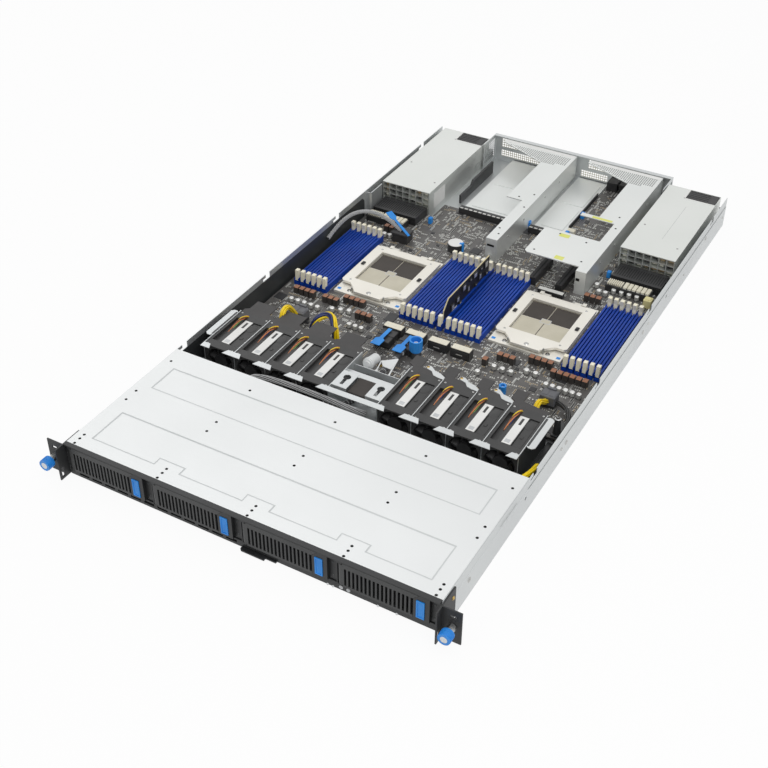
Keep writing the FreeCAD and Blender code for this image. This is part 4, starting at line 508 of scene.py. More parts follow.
def wind(curve, line, reach, start, turns, thick, coat):
    """One wire of a bundle, wound about the bundle's middle line."""
    spline = curve.splines.new("POLY")
    spline.points.add(len(line) - 1)
    heading = (line[1] - line[0]).normalized()
    side = heading.orthogonal().normalized()
    for index, place in enumerate(line):
        ahead = (line[min(index + 1, len(line) - 1)] - line[max(index - 1, 0)]).normalized()
        side = heading.rotation_difference(ahead) @ side
        heading = ahead
        out = Quaternion(ahead, start + turns * math.tau * index / (len(line) - 1)) @ side
        spline.points[index].co = (*(place + out * reach * MM), 1)
        spline.points[index].radius = thick
    spline.material_index = coat


def bundle(name, route, wires, coats):
    """Leads bundled along a route; wires holds reach, start, turns, radius and coat of each."""
    line = laid(route)
    curve = bpy.data.curves.new(name, "CURVE")
    curve.dimensions = "3D"
    curve.bevel_depth = MM
    curve.bevel_resolution = 2
    curve.use_fill_caps = True
    for coat in coats:
        curve.materials.append(coat)
    for reach, start, turns, radius, coat in wires:
        wind(curve, line, reach, start, turns, radius, coat)
    holder = bpy.data.objects.new(name + "_wires", curve)
    mesh = bpy.data.meshes.new_from_object(holder)
    bpy.data.objects.remove(holder)
    bpy.data.curves.remove(curve)
    mesh.name = name
    mesh.shade_smooth()
    made = bpy.data.objects.new(name, mesh)
    bpy.context.scene.collection.objects.link(made)
    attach(made, "chassis")
    return made


def strands(number, reach, turns, radius, coats=(0,)):
    """Wires spread evenly about the middle of a bundle, their coats taken in turn."""
    return [(reach, math.tau * step / number, turns, radius, coats[step % len(coats)])
            for step in range(number)]


YELLOWS = ("f0c800", "ffe220")
wire_yellow, wire_blue, wire_orange, wire_green, wire_brown = (
    finish(f"{name} lead", moulded_grain, *tints, (0.3, 0.42), relief=0.05) for name, tints in (
        ("yellow", YELLOWS), ("dark blue", ("1a2550", "27356e")), ("orange", ("b8683a", "d68a58")),
        ("green", ("5c8a4a", "7aa862")), ("brown", ("6b3d22", "845034"))))
for number, x in enumerate(FAN_MIDDLES, 1):
    route = ((x - 7.4, -136.0, 39.6), (x - 7.4, -143.0, 44.6), (x - 9.6, -155.0, 43.6),
             (x - 10.6, -172.0, 37.4))
    tints = [wire_orange, wire_brown, wire_yellow, wire_orange, wire_green if number % 2 else wire_blue]
    bundle(f"fan_leads_{number}", route, strands(5, 1.3, 0.7, 0.6, range(5)), tints)

# Main board: dark laminate on stand-offs, crowded with small parts soldered to its top.
# Chips, resistors, capacitor cans and printed outlines fill every patch that is left free.
BOARD_HALF = 213
BOARD_FRONT = -124
BOARD_REAR = 428
PROBE_MARGIN = 0.3
PROBE_LIFT = 0.4
PROBE_DROP = 0.6
LEVEL_ERROR = 0.05
HEADROOM = 6.0
CHIP_TRIES = 150
BATCHES = 30
CLUSTERS = 190
PART_PITCH = 2.4
PART_WIDE = 1.4
PART_LONG = 2.5
PART_CAP = 0.55
board_parts = random.Random(41)
chip_black = finish("chip package", moulded_grain, "222224", "323234", (0.35, 0.55), relief=0.1)
part_tan = finish("ceramic part", moulded_grain, "8d7a5c", "b49d77", (0.35, 0.5), relief=0.05)
solder_tin = finish("solder tin", zinc_coat, "c4c4c0", "e2e2de", (0.25, 0.4), metal=0.6, relief=0.03,
                    scale=6.0)
ink_white = finish("board ink", moulded_grain, "c4c4c0", "dededa", (0.5, 0.65), relief=0.02)
can_top = finish("can top", moulded_grain, "e4e4e2", "f0f0ee", (0.3, 0.45), relief=0.03)
corners_all = []
faces_all = []
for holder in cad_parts.values():
    start = len(corners_all)
    corners_all.extend(corner.co.copy() for corner in holder.data.vertices)
    faces_all.extend(tuple(start + index for index in face.vertices) for face in holder.data.polygons)
standing = BVHTree.FromPolygons(corners_all, faces_all)
taken = set()


def free(x, y, wide, long):
    """True where nothing stands on the board's top over this patch."""
    cells = {(round(x + wide * i / 8), round(y + long * j / 8)) for i in range(-4, 5) for j in range(-4, 5)}
    if cells & taken:
        return False
    for i in (-1, 0, 1):
        for j in (-1, 0, 1):
            spot = Vector((x + i * (wide / 2 + PROBE_MARGIN), y + j * (long / 2 + PROBE_MARGIN),
                           BOARD_TOP + PROBE_LIFT)) * MM
            below = standing.ray_cast(spot, Vector((0, 0, -1)), PROBE_DROP * MM)[0]
            if below is None or abs(below.z - BOARD_TOP * MM) > LEVEL_ERROR * MM:
                return False
            if standing.ray_cast(spot, Vector(UP), HEADROOM * MM)[0] is not None:
                return False
    taken.update(cells)
    return True


def board_spot():
    """The next place drawn on the board."""
    return board_parts.uniform(-BOARD_HALF, BOARD_HALF), board_parts.uniform(BOARD_FRONT, BOARD_REAR)


def gather(whole, batch):
    """A batch of small parts joins the whole piece."""
    mesh = bpy.data.meshes.new("batch")
    batch.to_mesh(mesh)
    batch.free()
    whole.from_mesh(mesh)
    bpy.data.meshes.remove(mesh)


def can(shape, x, y, radius, height, coat, mark):
    """A capacitor can with its crimped foot and a pale printed top."""
    place = Matrix.Translation(Vector((x, y, BOARD_TOP + height / 2)) * MM)
    corners = rod(shape, place, radius, height, coat, 14)
    top = max(faces_at(corners), key=lambda face: face.calc_center_median().z)
    top.material_index = 2
    bmesh.ops.bevel(shape, geom=list(top.edges), offset=0.35 * MM, offset_type="OFFSET", segments=1,
                    profile=0.5, affect="EDGES", material=-1)
    block(shape, (x - radius, y - radius, BOARD_TOP), (x + radius, y + radius, BOARD_TOP + 1.0), mark, 0.3)


cans = bmesh.new()
for x, y, pitch, number in (
        (-188.1, -44.2, 9.5, 5), (-132.5, -38.1, 0, 1), (-122, -35, 0, 1), (-111.9, -31.7, 0, 1),
        (-97.1, -56.3, 8.5, 3), (79.7, -63.3, 0, 1), (92.1, -45.2, 10.7, 3), (128.4, -33.8, 11.1, 2),
        (157.9, -46.4, 8.1, 6), (-165, 150, 8.2, 3), (138.7, 163.1, 8.5, 2), (154.6, 173, 10.2, 4),
        (-27, 158, 8.2, 2), (131, 176, 9, 1)):
    for step in range(number):
        if free(x + pitch * step, y, 6.2, 6.2):
            can(cans, x + pitch * step, y, 3.0, 6.2, 0, 1)
piece("capacitor_cans", cans, [solder_tin, chip_black, can_top], "chassis")
chips = bmesh.new()
for _ in range(CHIP_TRIES):
    x, y = board_spot()
    wide = board_parts.choice((4.0, 5.0, 6.0, 8.0, 10.0, 13.0))
    long = wide if board_parts.random() < 0.5 else wide * 1.4
    if free(x, y, wide + 1.4, long + 1.4):
        for sign in (-1, 1):
            edge = x + sign * (wide / 2 + 0.5)
            block(chips, (edge - 0.12, y - long / 2 - 0.6, BOARD_TOP - 0.02),
                  (edge + 0.12, y + long / 2 + 0.6, BOARD_TOP + 0.06), 1)
            edge = y + sign * (long / 2 + 0.3)
            block(chips, (x - wide * 0.42, edge - 0.3, BOARD_TOP),
                  (x + wide * 0.42, edge + 0.3, BOARD_TOP + 0.3), 2)
        block(chips, (x - wide / 2, y - long / 2, BOARD_TOP),
              (x + wide / 2, y + long / 2, BOARD_TOP + 1.2), 0, 0.2)
piece("board_chips", chips, [chip_black, ink_white, solder_tin], "chassis")
small_parts = bmesh.new()
for _ in range(BATCHES):
    batch = bmesh.new()
    for _ in range(CLUSTERS):
        x, y = board_spot()
        across = board_parts.random() < 0.5
        kind = board_parts.choice((0, 1, 2, 2, 3, 3))
        for step in range(board_parts.randint(2, 7)):
            px, py = (x + step * PART_PITCH, y) if across else (x, y + step * PART_PITCH)
            wide, long = (PART_WIDE, PART_LONG) if across else (PART_LONG, PART_WIDE)
            if free(px, py, wide, long):
                inner = (0.0, PART_CAP) if across else (PART_CAP, 0.0)
                block(batch, (px - wide / 2, py - long / 2, BOARD_TOP),
                      (px + wide / 2, py + long / 2, BOARD_TOP + 0.55), 2)
                block(batch, (px - wide / 2 + inner[0], py - long / 2 + inner[1], BOARD_TOP),
                      (px + wide / 2 - inner[0], py + long / 2 - inner[1], BOARD_TOP + 0.75), kind)
    gather(small_parts, batch)
piece("small_parts", small_parts, [part_tan, chip_black, solder_tin, ink_white], "chassis")

# Connectors and chokes: black and cream mouldings and ferrite blocks soldered to the board.
# Plugs with blue pull tabs stand in two of the cream ones, terminal rows stand before each
# supply, and a coin cell keeps the clock.
connector_coat = finish("connector moulding", moulded_grain, "222223", "303031", (0.35, 0.5), relief=0.1)
choke_coat = two_coats("choke ferrite", moulded_grain, ("322f2d", "403c39"), ("85573d", "a56f50"), 2, 17.35)
cream_mould = finish("cream moulding", moulded_grain, "e0dac6", "eee9d8", (0.35, 0.5), relief=0.06)
beige_mould = finish("beige moulding", moulded_grain, "d9d3bd", "e6e1cf", (0.35, 0.5), relief=0.06)
grey_mould = finish("grey plug", moulded_grain, "55565a", "66676b", (0.4, 0.55), relief=0.1)
yellow_mould = finish("pale yellow moulding", moulded_grain, "d9cf92", "e8dfa8", (0.35, 0.5), relief=0.06)
dress(connector_coat, "board_connectors")
dress(choke_coat, "power_chokes")
fittings = bmesh.new()
for left in (-55.0, -25.0, 6.0, 36.0):
    block(fittings, (left + 0.6, -46.6, 19.9), (left + 24.4, -36.9, 20.7), 0, 0.25)
    for step in range(4):
        screw_head(fittings, (left + 4.0 + 5.6 * step, -41.5, 20.7), UP, 0.8, 0.25, 3)
    block(fittings, (left + 2.0, -47.9, 11.0), (left + 23.0, -47.1, 18.5), 4, 0.2)
    block(fittings, (left + 8.0, -48.3, 13.6), (left + 16.0, -47.6, 14.6), 3)
for left in (-206.5, 143.5):
    for step in range(8):
        x = left + 2.5 * step
        block(fittings, (x, 177.0, 16.9), (x + 1.5, 188.0, 19.6), 0, 0.2)
    for step in range(6):
        x = left + 21.0 + 5.9 * step
        block(fittings, (x, 176.4, 16.9), (x + 4.9, 189.3, 19.4), 1, 0.4)
        block(fittings, (x + 0.5, 176.0, 12.0), (x + 4.4, 176.6, 17.5), 8, 0.2)
# Rows of pins, with black strips on top painted as the shade in their slots.
for left in (-208.0, 142.0):
    for step in range(20):
        block(fittings, (left + 2.0 + 3.2 * step, 194.2, 12.0), (left + 3.6 + 3.2 * step, 195.0, 18.0), 4)
        block(fittings, (left + 2.0 + 3.2 * step, 200.0, 19.95), (left + 3.4 + 3.2 * step, 222.0, 20.15), 5)
block(fittings, (197.0, 161.0, BOARD_TOP), (207.5, 171.5, 20.0), 2, 0.8)
block(fittings, (199.0, 163.0, 19.9), (205.5, 169.5, 20.6), 2, 0.3)
for left in (-166.0, 164.0):
    block(fittings, (left, -80.9, 12.0), (left + 18.5, -65.6, 24.2), 6, 0.8)
    block(fittings, (left + 4.0, -67.0, 20.0), (left + 14.0, -63.4, 26.0), 6, 0.5)
    for x in (left + 1.5, left + 10.5):
        block(fittings, (x, -78.0, 24.1), (x + 6.5, -69.0, 24.7), 6, 0.2)
block(fittings, (-152.0, 143.0, 20.0), (-126.5, 162.0, 23.5), 4, 0.8)
# Two long black lines painted as the shade inside slots.
for x in (56.5, 92.5):
    block(fittings, (x - 1.0, 142.5, 18.95), (x + 1.0, 197.0, 19.1), 5)
for left, right in ((-106.0, -32.0), (-1.0, 41.0)):
    for step in range(int((right - left) / 7)):
        block(fittings, (left + 1.0 + 7 * step, 256.0, 16.95), (left + 5.6 + 7 * step, 258.5, 17.3), 3, 0.1)
for x, y in ((-9.0, 268.0), (46.0, 326.0), (47.0, 268.0), (133.0, 203.0), (-130.0, 209.0)):
    block(fittings, (x, y, BOARD_TOP), (x + 5.0, y + 6.0, 17.0), 7, 0.4)
    block(fittings, (x + 1.0, y + 1.0, 16.8), (x + 4.0, y + 5.0, 17.2), 7, 0.1)
block(fittings, (46.5, 277.0, BOARD_TOP), (57.0, 285.0, 15.0), 0, 0.5)
block(fittings, (48.0, 278.4, 14.9), (55.5, 283.6, 15.3), 1, 0.1)
# Connector blocks, each with a black strip on top painted as the shade in its slot.
for x, y, wide in ((-108.0, 176.0, 5.0), (-98.0, 178.0, 5.0), (-112.0, 204.0, 5.0), (-84.0, 190.0, 4.5)):
    if free(x + wide / 2, y + 22.0, wide + 1.0, 45.0):
        block(fittings, (x, y, BOARD_TOP), (x + wide, y + 44.0, 14.5), 4, 0.4)
        block(fittings, (x + wide / 2 - 0.6, y + 2.0, 14.4), (x + wide / 2 + 0.6, y + 42.0, 14.6), 5)
    if free(x + 14.0, y + 4.0, 9.0, 9.0):
        block(fittings, (x + 10.0, y, BOARD_TOP), (x + 18.0, y + 8.0, 10.0), 4, 0.3)
block(fittings, (70.4, 128.2, 13.9), (103.6, 134.3, 14.7), 8, 0.2)
piece("connector_fittings", fittings,
      [cream_mould, beige_mould, yellow_mould, solder_tin, connector_coat, hollow_shade_black, grey_mould, blue_mould,
       ink_white], "chassis")
cell = bmesh.new()
place = Matrix.Translation(Vector((-66.0, 166.75, 19.3)) * MM)
cap = rod(cell, place, 10.2, 1.2, sides=32)
bmesh.ops.bevel(cell, geom=list({edge for corner in cap for edge in corner.link_edges}), offset=0.35 * MM,
                offset_type="OFFSET", segments=2, profile=0.5, affect="EDGES", material=-1)
block(cell, (-57.0, 164.5, BOARD_TOP), (-54.2, 169.0, 22.0), 1, 0.4)
block(cell, (-60.0, 165.2, 19.8), (-55.0, 168.3, 21.0), 1, 0.3)
piece("coin_cell", cell, [can_top, blue_mould], "chassis")
pulls = bmesh.new()
for x in (-43.0, -14.0):
    block(pulls, (x - 10.5, -74.0, 9.0), (x + 10.5, -48.0, 18.6), 1, 0.7)
    block(pulls, (x - 11.0, -62.0, 9.0), (x + 11.0, -57.0, 19.4), 1, 0.4)
    outline = ((x - 2.4, -50.0), (x + 2.4, -50.0), (x + 2.4, -72.0), (x + 6.0, -75.0), (x + 6.0, -88.0),
               (x - 6.0, -88.0), (x - 6.0, -75.0), (x - 2.4, -72.0))
    plate(pulls, [(px, py, 20.4 + (-50.0 - py) * 0.04) for px, py in outline], (0, 0, 0.7), 0)
ahead = Vector((-43, 23, 0)).normalized()
aside = Vector((-ahead.y, ahead.x, 0))
outline = ((-4, -1.8), (30, -1.8), (34, -4.6), (46, -4.6), (46, 4.6), (34, 4.6), (30, 1.8), (-4, 1.8))
root = Vector((-128, 146, 24.6))
rising = ahead + 0.24 * Vector(UP)
plate(pulls, [root + rising * along + aside * across for along, across in outline], (0, 0, 0.7), 0)
piece("pull_tabs", pulls, [blue_mould, connector_coat], "chassis")

# Processor sockets: a nickel frame hinged at the rear presses the processor on its contacts.
# The contact field is closed by a cover plate, dark at the rear and cream at the front,
# and two spring studs hold the tongue of the frame.
nickel = finish("nickel plate", zinc_coat, "e6e2d8", "f0ede4", (0.3, 0.42), metal=0.45, relief=0.04,
                scale=2.0)
field_brown = finish("contact field cover", moulded_grain, "37322e", "453f3a", (0.4, 0.55), relief=0.05,
                     gloss=0.3)
field_cream = finish("cream field cover", moulded_grain, "beb8a4", "cec8b6", (0.35, 0.5), relief=0.05)
dress(nickel, "processor_sockets", "load_frame_left", "load_frame_right")
FIELD_FRONT = 32.2
CREAM_REAR = 66.2
BROWN_FRONT = 67.2
FIELD_REAR = 101.2
FIELD_TOP = 13.0
for side, x in (("left", -108.0), ("right", 108.0)):
    field = bmesh.new()
    for sign in (-1, 1):
        low, high = sorted((x + sign * 0.5, x + sign * 31.5))
        block(field, (low, BROWN_FRONT, 12.5), (high, FIELD_REAR, FIELD_TOP), 0, 0.12)
        block(field, (low, FIELD_FRONT, 12.5), (high, CREAM_REAR, FIELD_TOP), 1, 0.12)
    block(field, (x - 0.2, BROWN_FRONT, 12.8), (x + 0.2, FIELD_REAR, FIELD_TOP + 0.02), 1)
    block(field, (x - 0.5, FIELD_FRONT, 12.6), (x + 0.5, CREAM_REAR, FIELD_TOP - 0.1), 0)
    block(field, (x - 6.5, 62.0, 12.95), (x + 6.5, 71.5, 13.15), 2, 0.1)
    block(field, (x - 5.6, 62.9, 13.1), (x + 5.6, 70.6, 13.2), 1, 0.05)
    for px, py in ((-42.0, 8.0), (42.0, 8.0), (-42.0, 118.0), (42.0, 118.0)):
        block(field, (x + px - 2.4, py - 2.0, 10.9), (x + px + 2.4, py + 2.0, 11.4), 3, 0.2)
    for px in (-28.0, 28.0):
        screw_head(field, (x + px, 9.0, 10.9), UP, 3.0, 1.2, 4)
        place = Matrix.Translation(Vector((x + px * 0.82, 7.0, 15.0)) * MM)
        rod(field, place, 1.3, 8, 4, 12, 1.1)
    piece(f"{side}_field_cover", field, [field_brown, field_cream, button_grey, blue_mould, screw_steel],
          "chassis")
    clips = bmesh.new()
    screw_head(clips, (x, 9.5, 16.1), UP, 3.2, 0.8, 0)
    for sign in (-1, 1):
        edge = x + sign * 41.0
        block(clips, (edge - 2.2, 63.0, 15.9), (edge + 2.2, 70.0, 17.4), 1, 0.4)
        block(clips, (edge - 0.9, 64.5, 17.2), (edge + 0.9, 68.5, 18.4), 1, 0.3)
        for y in (26.0, 108.0):
            screw_head(clips, (x + sign * 36.0, y, 16.05), UP, 1.6, 0.5, 0)
    piece(f"{side}_frame_clips", clips, [screw_steel, connector_coat], f"load_frame_{side}")

# Memory sockets: long blue mouldings with a groove along the top, soldered in banks of six.
# A cream latch at each end turns out to let the module go.
memory_blue = finish("memory blue", moulded_grain, "06328e", "0c44aa", (0.34, 0.46), relief=0.08, gloss=0.25)
latch_cream = finish("latch cream", moulded_grain, "f3ecd2", "fbf6e2", (0.35, 0.5), relief=0.08)
dress(memory_blue, "memory_slots")
for end in ("front", "rear"):
    dress(latch_cream, f"memory_latches_{end}_left", f"memory_latches_{end}_right")

# Centre card: dark laminate standing in its own socket, its front top corner cut off.
# Chips and coils stand on its right face, and the routed edge shows the pale glass fibre.
card_edge = finish("laminate edge", moulded_grain, "c6b98c", "d6caa2", (0.5, 0.65), relief=0.1)
card_dark = finish("card laminate", board_print, "1e1d1c", "2e2c2a", (0.4, 0.55), relief=0.12, gloss=0.3)
dress(card_dark, "centre_card")
card_parts = bmesh.new()
for y, z, wide, high in ((20, 20, 8, 8), (34, 23, 8, 8), (50, 30, 9, 9), (64, 22, 6, 8), (80, 32, 10, 8),
                         (96, 22, 7, 9), (112, 30, 9, 10), (100, 34, 6, 4), (70, 34, 5, 4), (42, 16, 6, 4),
                         (86, 18, 5, 4), (116, 18, 6, 5)):
    block(card_parts, (1.25, y, z), (3.0, y + wide, z + high), 0, 0.3)
    block(card_parts, (2.9, y + 1.5, z + 1.5), (3.2, y + wide - 1.5, z + high - 1.5), 1, 0.1)
block(card_parts, (1.25, 24, 14.5), (1.5, 38, 18.5), 2, 0.1)
CARD_FACE = -0.15
CARD_EDGE = ((2.75, 14.0), (2.75, 29.5), (14.7, 41.35), (127.6, 41.35))
for (front, low), (rear, high) in zip(CARD_EDGE, CARD_EDGE[1:]):
    lap = 0.2 if front == rear else 0
    outline = ((front, low), (rear, high), (rear, high + 0.2), (front - lap, low + 0.2))
    plate(card_parts, [(CARD_FACE, y, z) for y, z in outline], (1.5, 0, 0), 3)
piece("card_parts", card_parts, [chip_black, solder_tin, ink_white, card_edge], "chassis")

# Blue knobs: captive screws that fasten the board and its bracket, moulded on a steel shank.
# The head of the screw shows in the cupped top of each knob, and the shank below is steel.
for name, x, y, floor_z, radius, rise, foot in (("big_knob", 2.0, -69.25, 26.0, 3.6, 2.6, 17.0),
                                                ("small_knob", 124.0, -91.25, 21.0, 2.2, 4.6, 14.0)):
    dress(two_coats(f"{name} moulding and shank", moulded_grain, ("55585a", "6d7072"), BLUES, 2, foot,
                    metals=(0.8, 0.0)), name)
    head = bmesh.new()
    screw_head(head, (x, y, floor_z), UP, radius, rise, 0)
    piece(f"{name}_screw", head, [clip_white], name)

# Power supplies: aluminium cases with a punched inner end and a fan at the rear.
# A black fan housing fills the open corner of the top, pale parts show behind the grid, and
# the rear has a wire guard, the mains inlet with its pins, and a lamp.
case_sheet = finish("supply case sheet", zinc_coat, "d6d9d5", "dfe1de", (0.34, 0.46), metal=0.75, relief=0.05)
pale_part = finish("pale coil", moulded_grain, "d6d4c4", "eae8dc", (0.4, 0.6), relief=0.1)
dress(case_sheet, "psu_left", "psu_right")
dress(rotor_mould, "psu_left_rotor", "psu_right_rotor")
latch_coat = two_coats("supply latch spring and tab", moulded_grain, ("c2c5c3", "d0d2d0"),
                       ("3a3c3e", "48494b"), 1, 421.25, metals=(0.75, 0.0))
dress(latch_coat, "psu_left_latch", "psu_right_latch")
SUPPLY_WIDTH = 73.5
SUPPLY_TOP = 41.15
for side, left in (("left", -214.0), ("right", 137.5)):
    right = left + SUPPLY_WIDTH
    fan_x = right - 24.5
    inner = bmesh.new()
    block(inner, (fan_x - 17.4, 395.4, 40.0), (right - 0.7, 420.5, 40.5), 0, 0.1)
    for step in range(5):
        y = 398.0 + 4.8 * step
        block(inner, (fan_x - 16.0, y, 40.4), (right - 2.0, y + 1.2, 40.9), 0, 0.15)
    block(inner, (right - 12.0, 396.5, 40.4), (right - 2.0, 419.0, 41.0), 0, 0.2)
    block(inner, (fan_x - 19.6, 394.0, SUPPLY_TOP), (fan_x - 17.7, 420.6, SUPPLY_TOP + 0.25), 5, 0.08)
    block(inner, (fan_x - 19.6, 393.9, SUPPLY_TOP), (right - 0.7, 395.2, SUPPLY_TOP + 0.25), 5, 0.08)
    for column in range(7):
        for row in range(3):
            x = left + 2.6 + 10.1 * column
            z = 17.6 + 8.0 * row
            depth = 236.6 + board_parts.uniform(0, 1.0)
            kind = board_parts.choice((1, 1, 0, 0, 2))
            wide = board_parts.uniform(4.0, 8.5)
            high = board_parts.uniform(3.0, 6.4)
            block(inner, (x, depth, z), (x + wide, depth + 1.2, z + high), kind, 0.4)
    guard = Vector((fan_x, 421.7, 21.2))
    for radius in (5.0, 9.5, 14.0):
        place = Matrix.Translation((guard + Vector((radius, 0, 0))) * MM)
        wire = bmesh.ops.create_circle(inner, cap_ends=False, segments=6, radius=0.55 * MM,
                                       matrix=place)["verts"]
        edges = list({edge for corner in wire for edge in corner.link_edges})
        bmesh.ops.spin(inner, geom=wire + edges, cent=guard * MM, axis=(0, 1, 0), angle=math.tau, steps=28,
                       use_merge=True)
    behind = Matrix.Translation((guard + Vector((0, 0.2, 0))) * MM)
    for turned in (45, 135):
        rod(inner, behind @ Matrix.Rotation(math.radians(turned), 4, "Y"), 0.55, 36, sides=8)
    for z in (13.0, 20.7, 28.4):
        block(inner, (left + 13.6, 412.0, z - 1.0), (left + 16.4, 419.5, z + 1.0), 3, 0.3)
    screw_head(inner, (left + 30.0, 421.2, 35.5), (0, 1, 0), 1.5, 0.6, 4)
    for x, y in ((left + 8.0, 300.0), (right - 8.0, 262.0)):
        screw_head(inner, (x, y, SUPPLY_TOP), UP, 1.6, 0.35, 3)
    if side == "left":
        block(inner, (right - 0.05, 246.0, 11.0), (right + 0.12, 279.0, 34.0), 5, 0.04)
    else:
        block(inner, (left + 40.0, 276.0, 41.1), (left + 40.4, 372.0, 41.3), 6)
    for face in inner.faces:
        if face.calc_center_median().y > 0.42105 and face.material_index == 0:
            face.material_index = 3
    piece(f"psu_{side}_fittings", inner,
          [rotor_mould, pale_part, part_tan, screw_steel, lens_white, strip_white, seam_grey],
          f"psu_{side}")

# Risers: zinc brackets that carry a card and its slot, lifted out as one.
# The rear corner of each plate shows rows of small square holes, drawn as black squares that paint
# the shade in the holes. Near-black discs and small patches are painted shade of holes where the card
# is fixed, and plain screws stand in the side of the plate.
riser_sheet = finish("riser sheet", zinc_coat, "dadddb", "e4e6e4", (0.32, 0.44), metal=0.65, relief=0.05)
mark_yellow = finish("pale yellow mark", moulded_grain, "d9dc6a", "e6e884", (0.5, 0.6), relief=0.05)
dress(riser_sheet, "left_riser", "right_riser")
RISER_TOP = 41.45
RISER_SCREWS = {
    "left": ((-12.0, 182.0), (-17.0, 196.0), (-12.0, 262.0), (-30.0, 285.0), (-14.0, 300.0)),
    "right": ((108.0, 172.0), (96.0, 218.0), (44.0, 170.0), (58.0, 222.0), (110.0, 300.0), (116.0, 270.0)),
}
for side, edge, tip, root, width in (("left", -6.0, -118.0, 391.0, 39.0),
                                     ("right", 124.0, 15.0, 394.0, 38.0)):
    marks = bmesh.new()
    # Black squares painted as the shade in the punched holes.
    for row in range(10):
        y = root + 2.0 + 3.0 * row
        start = edge - width - (edge - width - tip) * (y - root) / (424.3 - root) + 3.0
        x = edge - 6.0
        while x > start:
            if row > 1 or x < edge - 20.0:
                block(marks, (x - 0.75, y, RISER_TOP), (x + 0.75, y + 1.5, RISER_TOP + 0.09), 0)
            x -= 3.0
    block(marks, (tip + 3.0, 425.5, RISER_TOP), (edge - 2.0, 432.4, RISER_TOP + 0.3), 1, 0.2)
    for x, y in RISER_SCREWS[side]:
        screw_head(marks, (x, y, RISER_TOP), UP, 1.5, 0.3, 2)
    if side == "left":
        block(marks, (-20.0, 165.0, 30.0), (-10.0, 165.4, 33.0), 2, 0.1)
    else:
        for low, high, coat in (((74.0, 162.5), (86.0, 171.0), 3), ((58.0, 216.0), (72.0, 224.0), 3),
                                ((78.0, 281.5), (106.0, 286.5), 3), ((63.5, 281.5), (77.0, 286.5), 1)):
            block(marks, (*low, RISER_TOP), (*high, RISER_TOP + 0.13), coat)
        block(marks, (111.0, 149.0, 27.0), (116.0, 149.4, 31.0), 2, 0.1)
    for y in (200.0, 250.0, 320.0, 370.0):
        screw_head(marks, (edge - 0.05, y, 30.0), (1, 0, 0), 1.6, 0.6, 4)
    piece(f"{side}_riser_marks", marks, [hollow_shade_black, strip_white, hole_shade_dark, mark_yellow, screw_steel],
          f"{side}_riser")

# Power leads and sleeves: yellow and dark blue leads from the plugs, and grey braided sleeves.
# The leads are round copper in soft sheaths, held only by their plugs; a black tube covers the
# side leads from their plug to the front of the fans.
ARCH = ((-124, -98.25, 8), (-124, -98.25, 32), (-108, -78.25, 40), (-90, -98.25, 32), (-90, -98.25, 8))
SIDE_LEAD = ((182, -74.25, 15), (213, -74.25, 15), (213, -221.25, 28), (188, -237.25, 28), (188, -262.65, 28))
SLEEVE = ((-118, -262.65, 28), (-118, -227.25, 28), (-12, -223.25, 28), (-12, -159.25, 15), (-12, -47.25, 15))
sleeve_grey = finish("braided sleeve", moulded_grain, "a5a6a6", "c2c3c3", (0.4, 0.6), relief=0.2)
sleeve_dark = finish("sleeve core", moulded_grain, "3a3a3b", "4a4a4c", (0.5, 0.7), relief=0.2)
arch_wires = strands(7, 3.2, 0.5, 1.25, (0, 0, 1, 1, 0, 0, 0)) + strands(1, 0.0, 0.0, 1.6)
arch = bundle("arch_leads", ARCH, arch_wires, [wire_yellow, wire_blue])
tube_coat = two_coats("yellow leads in black tube", moulded_grain, YELLOWS, ("1c1c1c", "282827"), 1, -192.0)
side = bundle("side_leads", SIDE_LEAD, strands(5, 1.7, 1.5, 1.2), [tube_coat])
braid = strands(1, 0.0, 0.0, 3.4, (1,)) + strands(10, 3.55, -14.0, 0.42) + strands(10, 3.55, 14.0, 0.42)
sleeve = bundle("sleeve_lead", SLEEVE, braid, [sleeve_grey, sleeve_dark])
for lead in (arch, side, sleeve):
    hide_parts("internal_cables")
REAR_SLEEVE = ((-216, 88, 22), (-213, 118, 37), (-200, 154, 38), (-166, 160, 33), (-139, 151, 23))
thin_braid = strands(1, 0.0, 0.0, 2.3, (1,)) + strands(8, 2.45, -7.0, 0.34) + strands(8, 2.45, 7.0, 0.34)
bundle("rear_sleeve", REAR_SLEEVE, thin_braid, [sleeve_grey, sleeve_dark])
FRONT_SLEEVE = ((-128, -262.65, 30), (-128, -228, 33), (-112, -217, 35), (-41, -216, 35), (10, -217, 33),
                (14, -206, 24))
flat_braid = strands(1, 0.0, 0.0, 2.4, (1,)) + strands(8, 2.6, 1.0, 0.5)
bundle("front_sleeve", FRONT_SLEEVE, flat_braid, [sleeve_grey, sleeve_dark])
PLUG_LEADS = {
    "left": ((-157, -80, 18), (-157, -92, 38), (-156, -104, 46), (-155, -115, 40), (-155, -121, 9)),
    "right": ((173, -80, 17), (173, -92, 24), (173, -104, 34), (173, -116, 26), (173, -121, 9)),
}
plug_wires = strands(6, 2.3, 0.2, 1.05) + strands(1, 0.0, 0.0, 1.3)
for end, route in PLUG_LEADS.items():
    bundle(f"{end}_plug_leads", route, plug_wires, [wire_yellow])

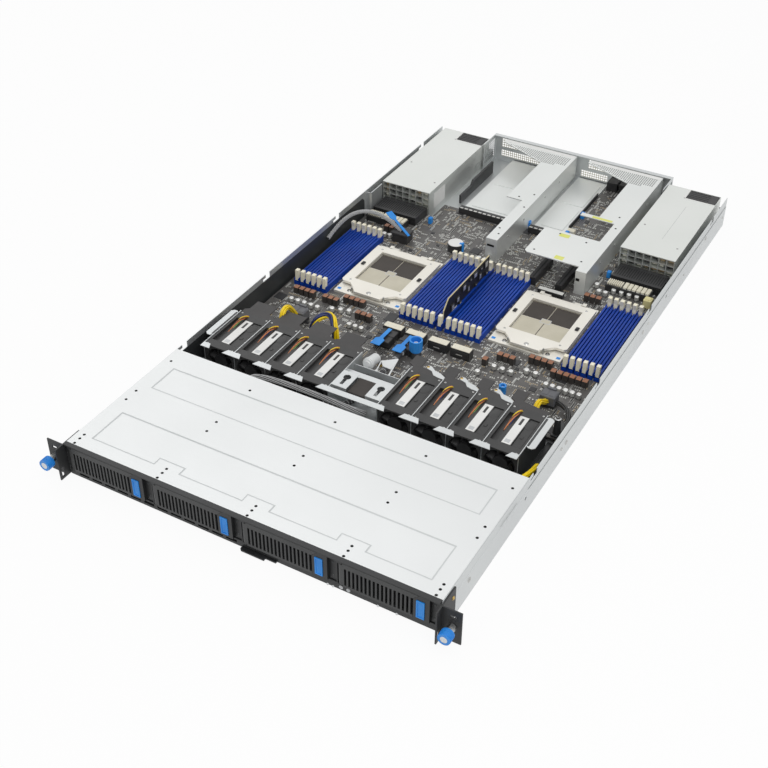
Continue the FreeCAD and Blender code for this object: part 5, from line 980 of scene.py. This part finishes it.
# Studio: a pale floor, soft light from a large lamp above and a white surround.
# The camera stands where the photograph was taken from.
FLOOR_SIZE = 12.0
FLOOR_Z = -0.0006
floor_shape = bmesh.new()
bmesh.ops.create_grid(floor_shape, x_segments=1, y_segments=1, size=FLOOR_SIZE,
                      matrix=Matrix.Translation((0, 0, FLOOR_Z)))
floor_mesh = bpy.data.meshes.new("studio_floor")
floor_shape.to_mesh(floor_mesh)
floor_shape.free()
floor = bpy.data.objects.new("studio_floor", floor_mesh)
bpy.context.scene.collection.objects.link(floor)
floor_paint = bpy.data.materials.new("studio floor")
floor_paint.use_nodes = True
tree = floor_paint.node_tree
surface = tree.nodes["Principled BSDF"]
surface.inputs["Base Color"].default_value = (0.86, 0.86, 0.86, 1)
surface.inputs["Roughness"].default_value = 0.9
surface.inputs["Specular IOR Level"].default_value = 0.1


def seen_rays(tree):
    """One where a ray comes from the camera, from a reflection or through glass."""
    ray = grow(tree, "LightPath", {}).outputs
    seen = grow(tree, "Math", {0: ray["Is Camera Ray"], 1: ray["Is Glossy Ray"]},
                operation="MAXIMUM").outputs[0]
    return grow(tree, "Math", {0: seen, 1: ray["Is Transmission Ray"]}, operation="MAXIMUM").outputs[0]


share = grow(tree, "Math", {0: seen_rays(tree), 1: 0.93}, operation="MULTIPLY")
glow = grow(tree, "Emission", {"Color": (1, 1, 1, 1), "Strength": 1.0})
blend = grow(tree, "MixShader", {0: share.outputs[0], 1: surface.outputs[0], 2: glow.outputs[0]})
tree.links.new(blend.outputs[0], tree.nodes["Material Output"].inputs["Surface"])
floor_mesh.materials.append(floor_paint)

world = bpy.data.worlds.new("studio")
bpy.context.scene.world = world
world.use_nodes = True
tree = world.node_tree
tree.nodes.clear()
soft = grow(tree, "Background", {"Color": (1, 1, 1, 1), "Strength": 0.58})
white = grow(tree, "Background", {"Color": (1, 1, 1, 1), "Strength": 1.0})
blend = grow(tree, "MixShader", {0: seen_rays(tree), 1: soft.outputs[0], 2: white.outputs[0]})
grow(tree, "OutputWorld", {"Surface": blend.outputs[0]})

for name, place, power, size in (("key_lamp", (0.9, -0.9, 1.9), 17.0, 1.4),
                                 ("fill_lamp", (-1.3, 0.6, 1.7), 6.0, 1.6)):
    lamp = bpy.data.lights.new(name, "AREA")
    lamp.energy = power
    lamp.size = size
    holder = bpy.data.objects.new(name, lamp)
    holder.location = place
    holder.rotation_euler = (-Vector(place)).to_track_quat("-Z", "Y").to_euler()
    bpy.context.scene.collection.objects.link(holder)

CAMERA_TARGET = (-9.80, -123.81, 0)
CAMERA_DISTANCE = 1.4096
azimuth, elevation, roll = (math.radians(angle) for angle in (29.551, 37.907, 0.189))
back = Vector((math.sin(azimuth) * math.cos(elevation), -math.cos(azimuth) * math.cos(elevation),
               math.sin(elevation)))
level = Vector((math.cos(azimuth), math.sin(azimuth), 0))
upright = back.cross(level)
right = math.cos(roll) * level + math.sin(roll) * upright
upward = math.cos(roll) * upright - math.sin(roll) * level
lens = bpy.data.cameras.new("photo_camera")
lens.sensor_width = 36.0
lens.lens = 57.27
lens.clip_start = 0.05
lens.clip_end = 40.0
camera = bpy.data.objects.new("photo_camera", lens)
turn = Matrix((right, upward, back)).transposed().to_4x4()
camera.matrix_world = Matrix.Translation(Vector(CAMERA_TARGET) * MM + back * CAMERA_DISTANCE) @ turn
bpy.context.scene.collection.objects.link(camera)
bpy.context.scene.camera = camera
bpy.context.scene.view_settings.view_transform = "Standard"
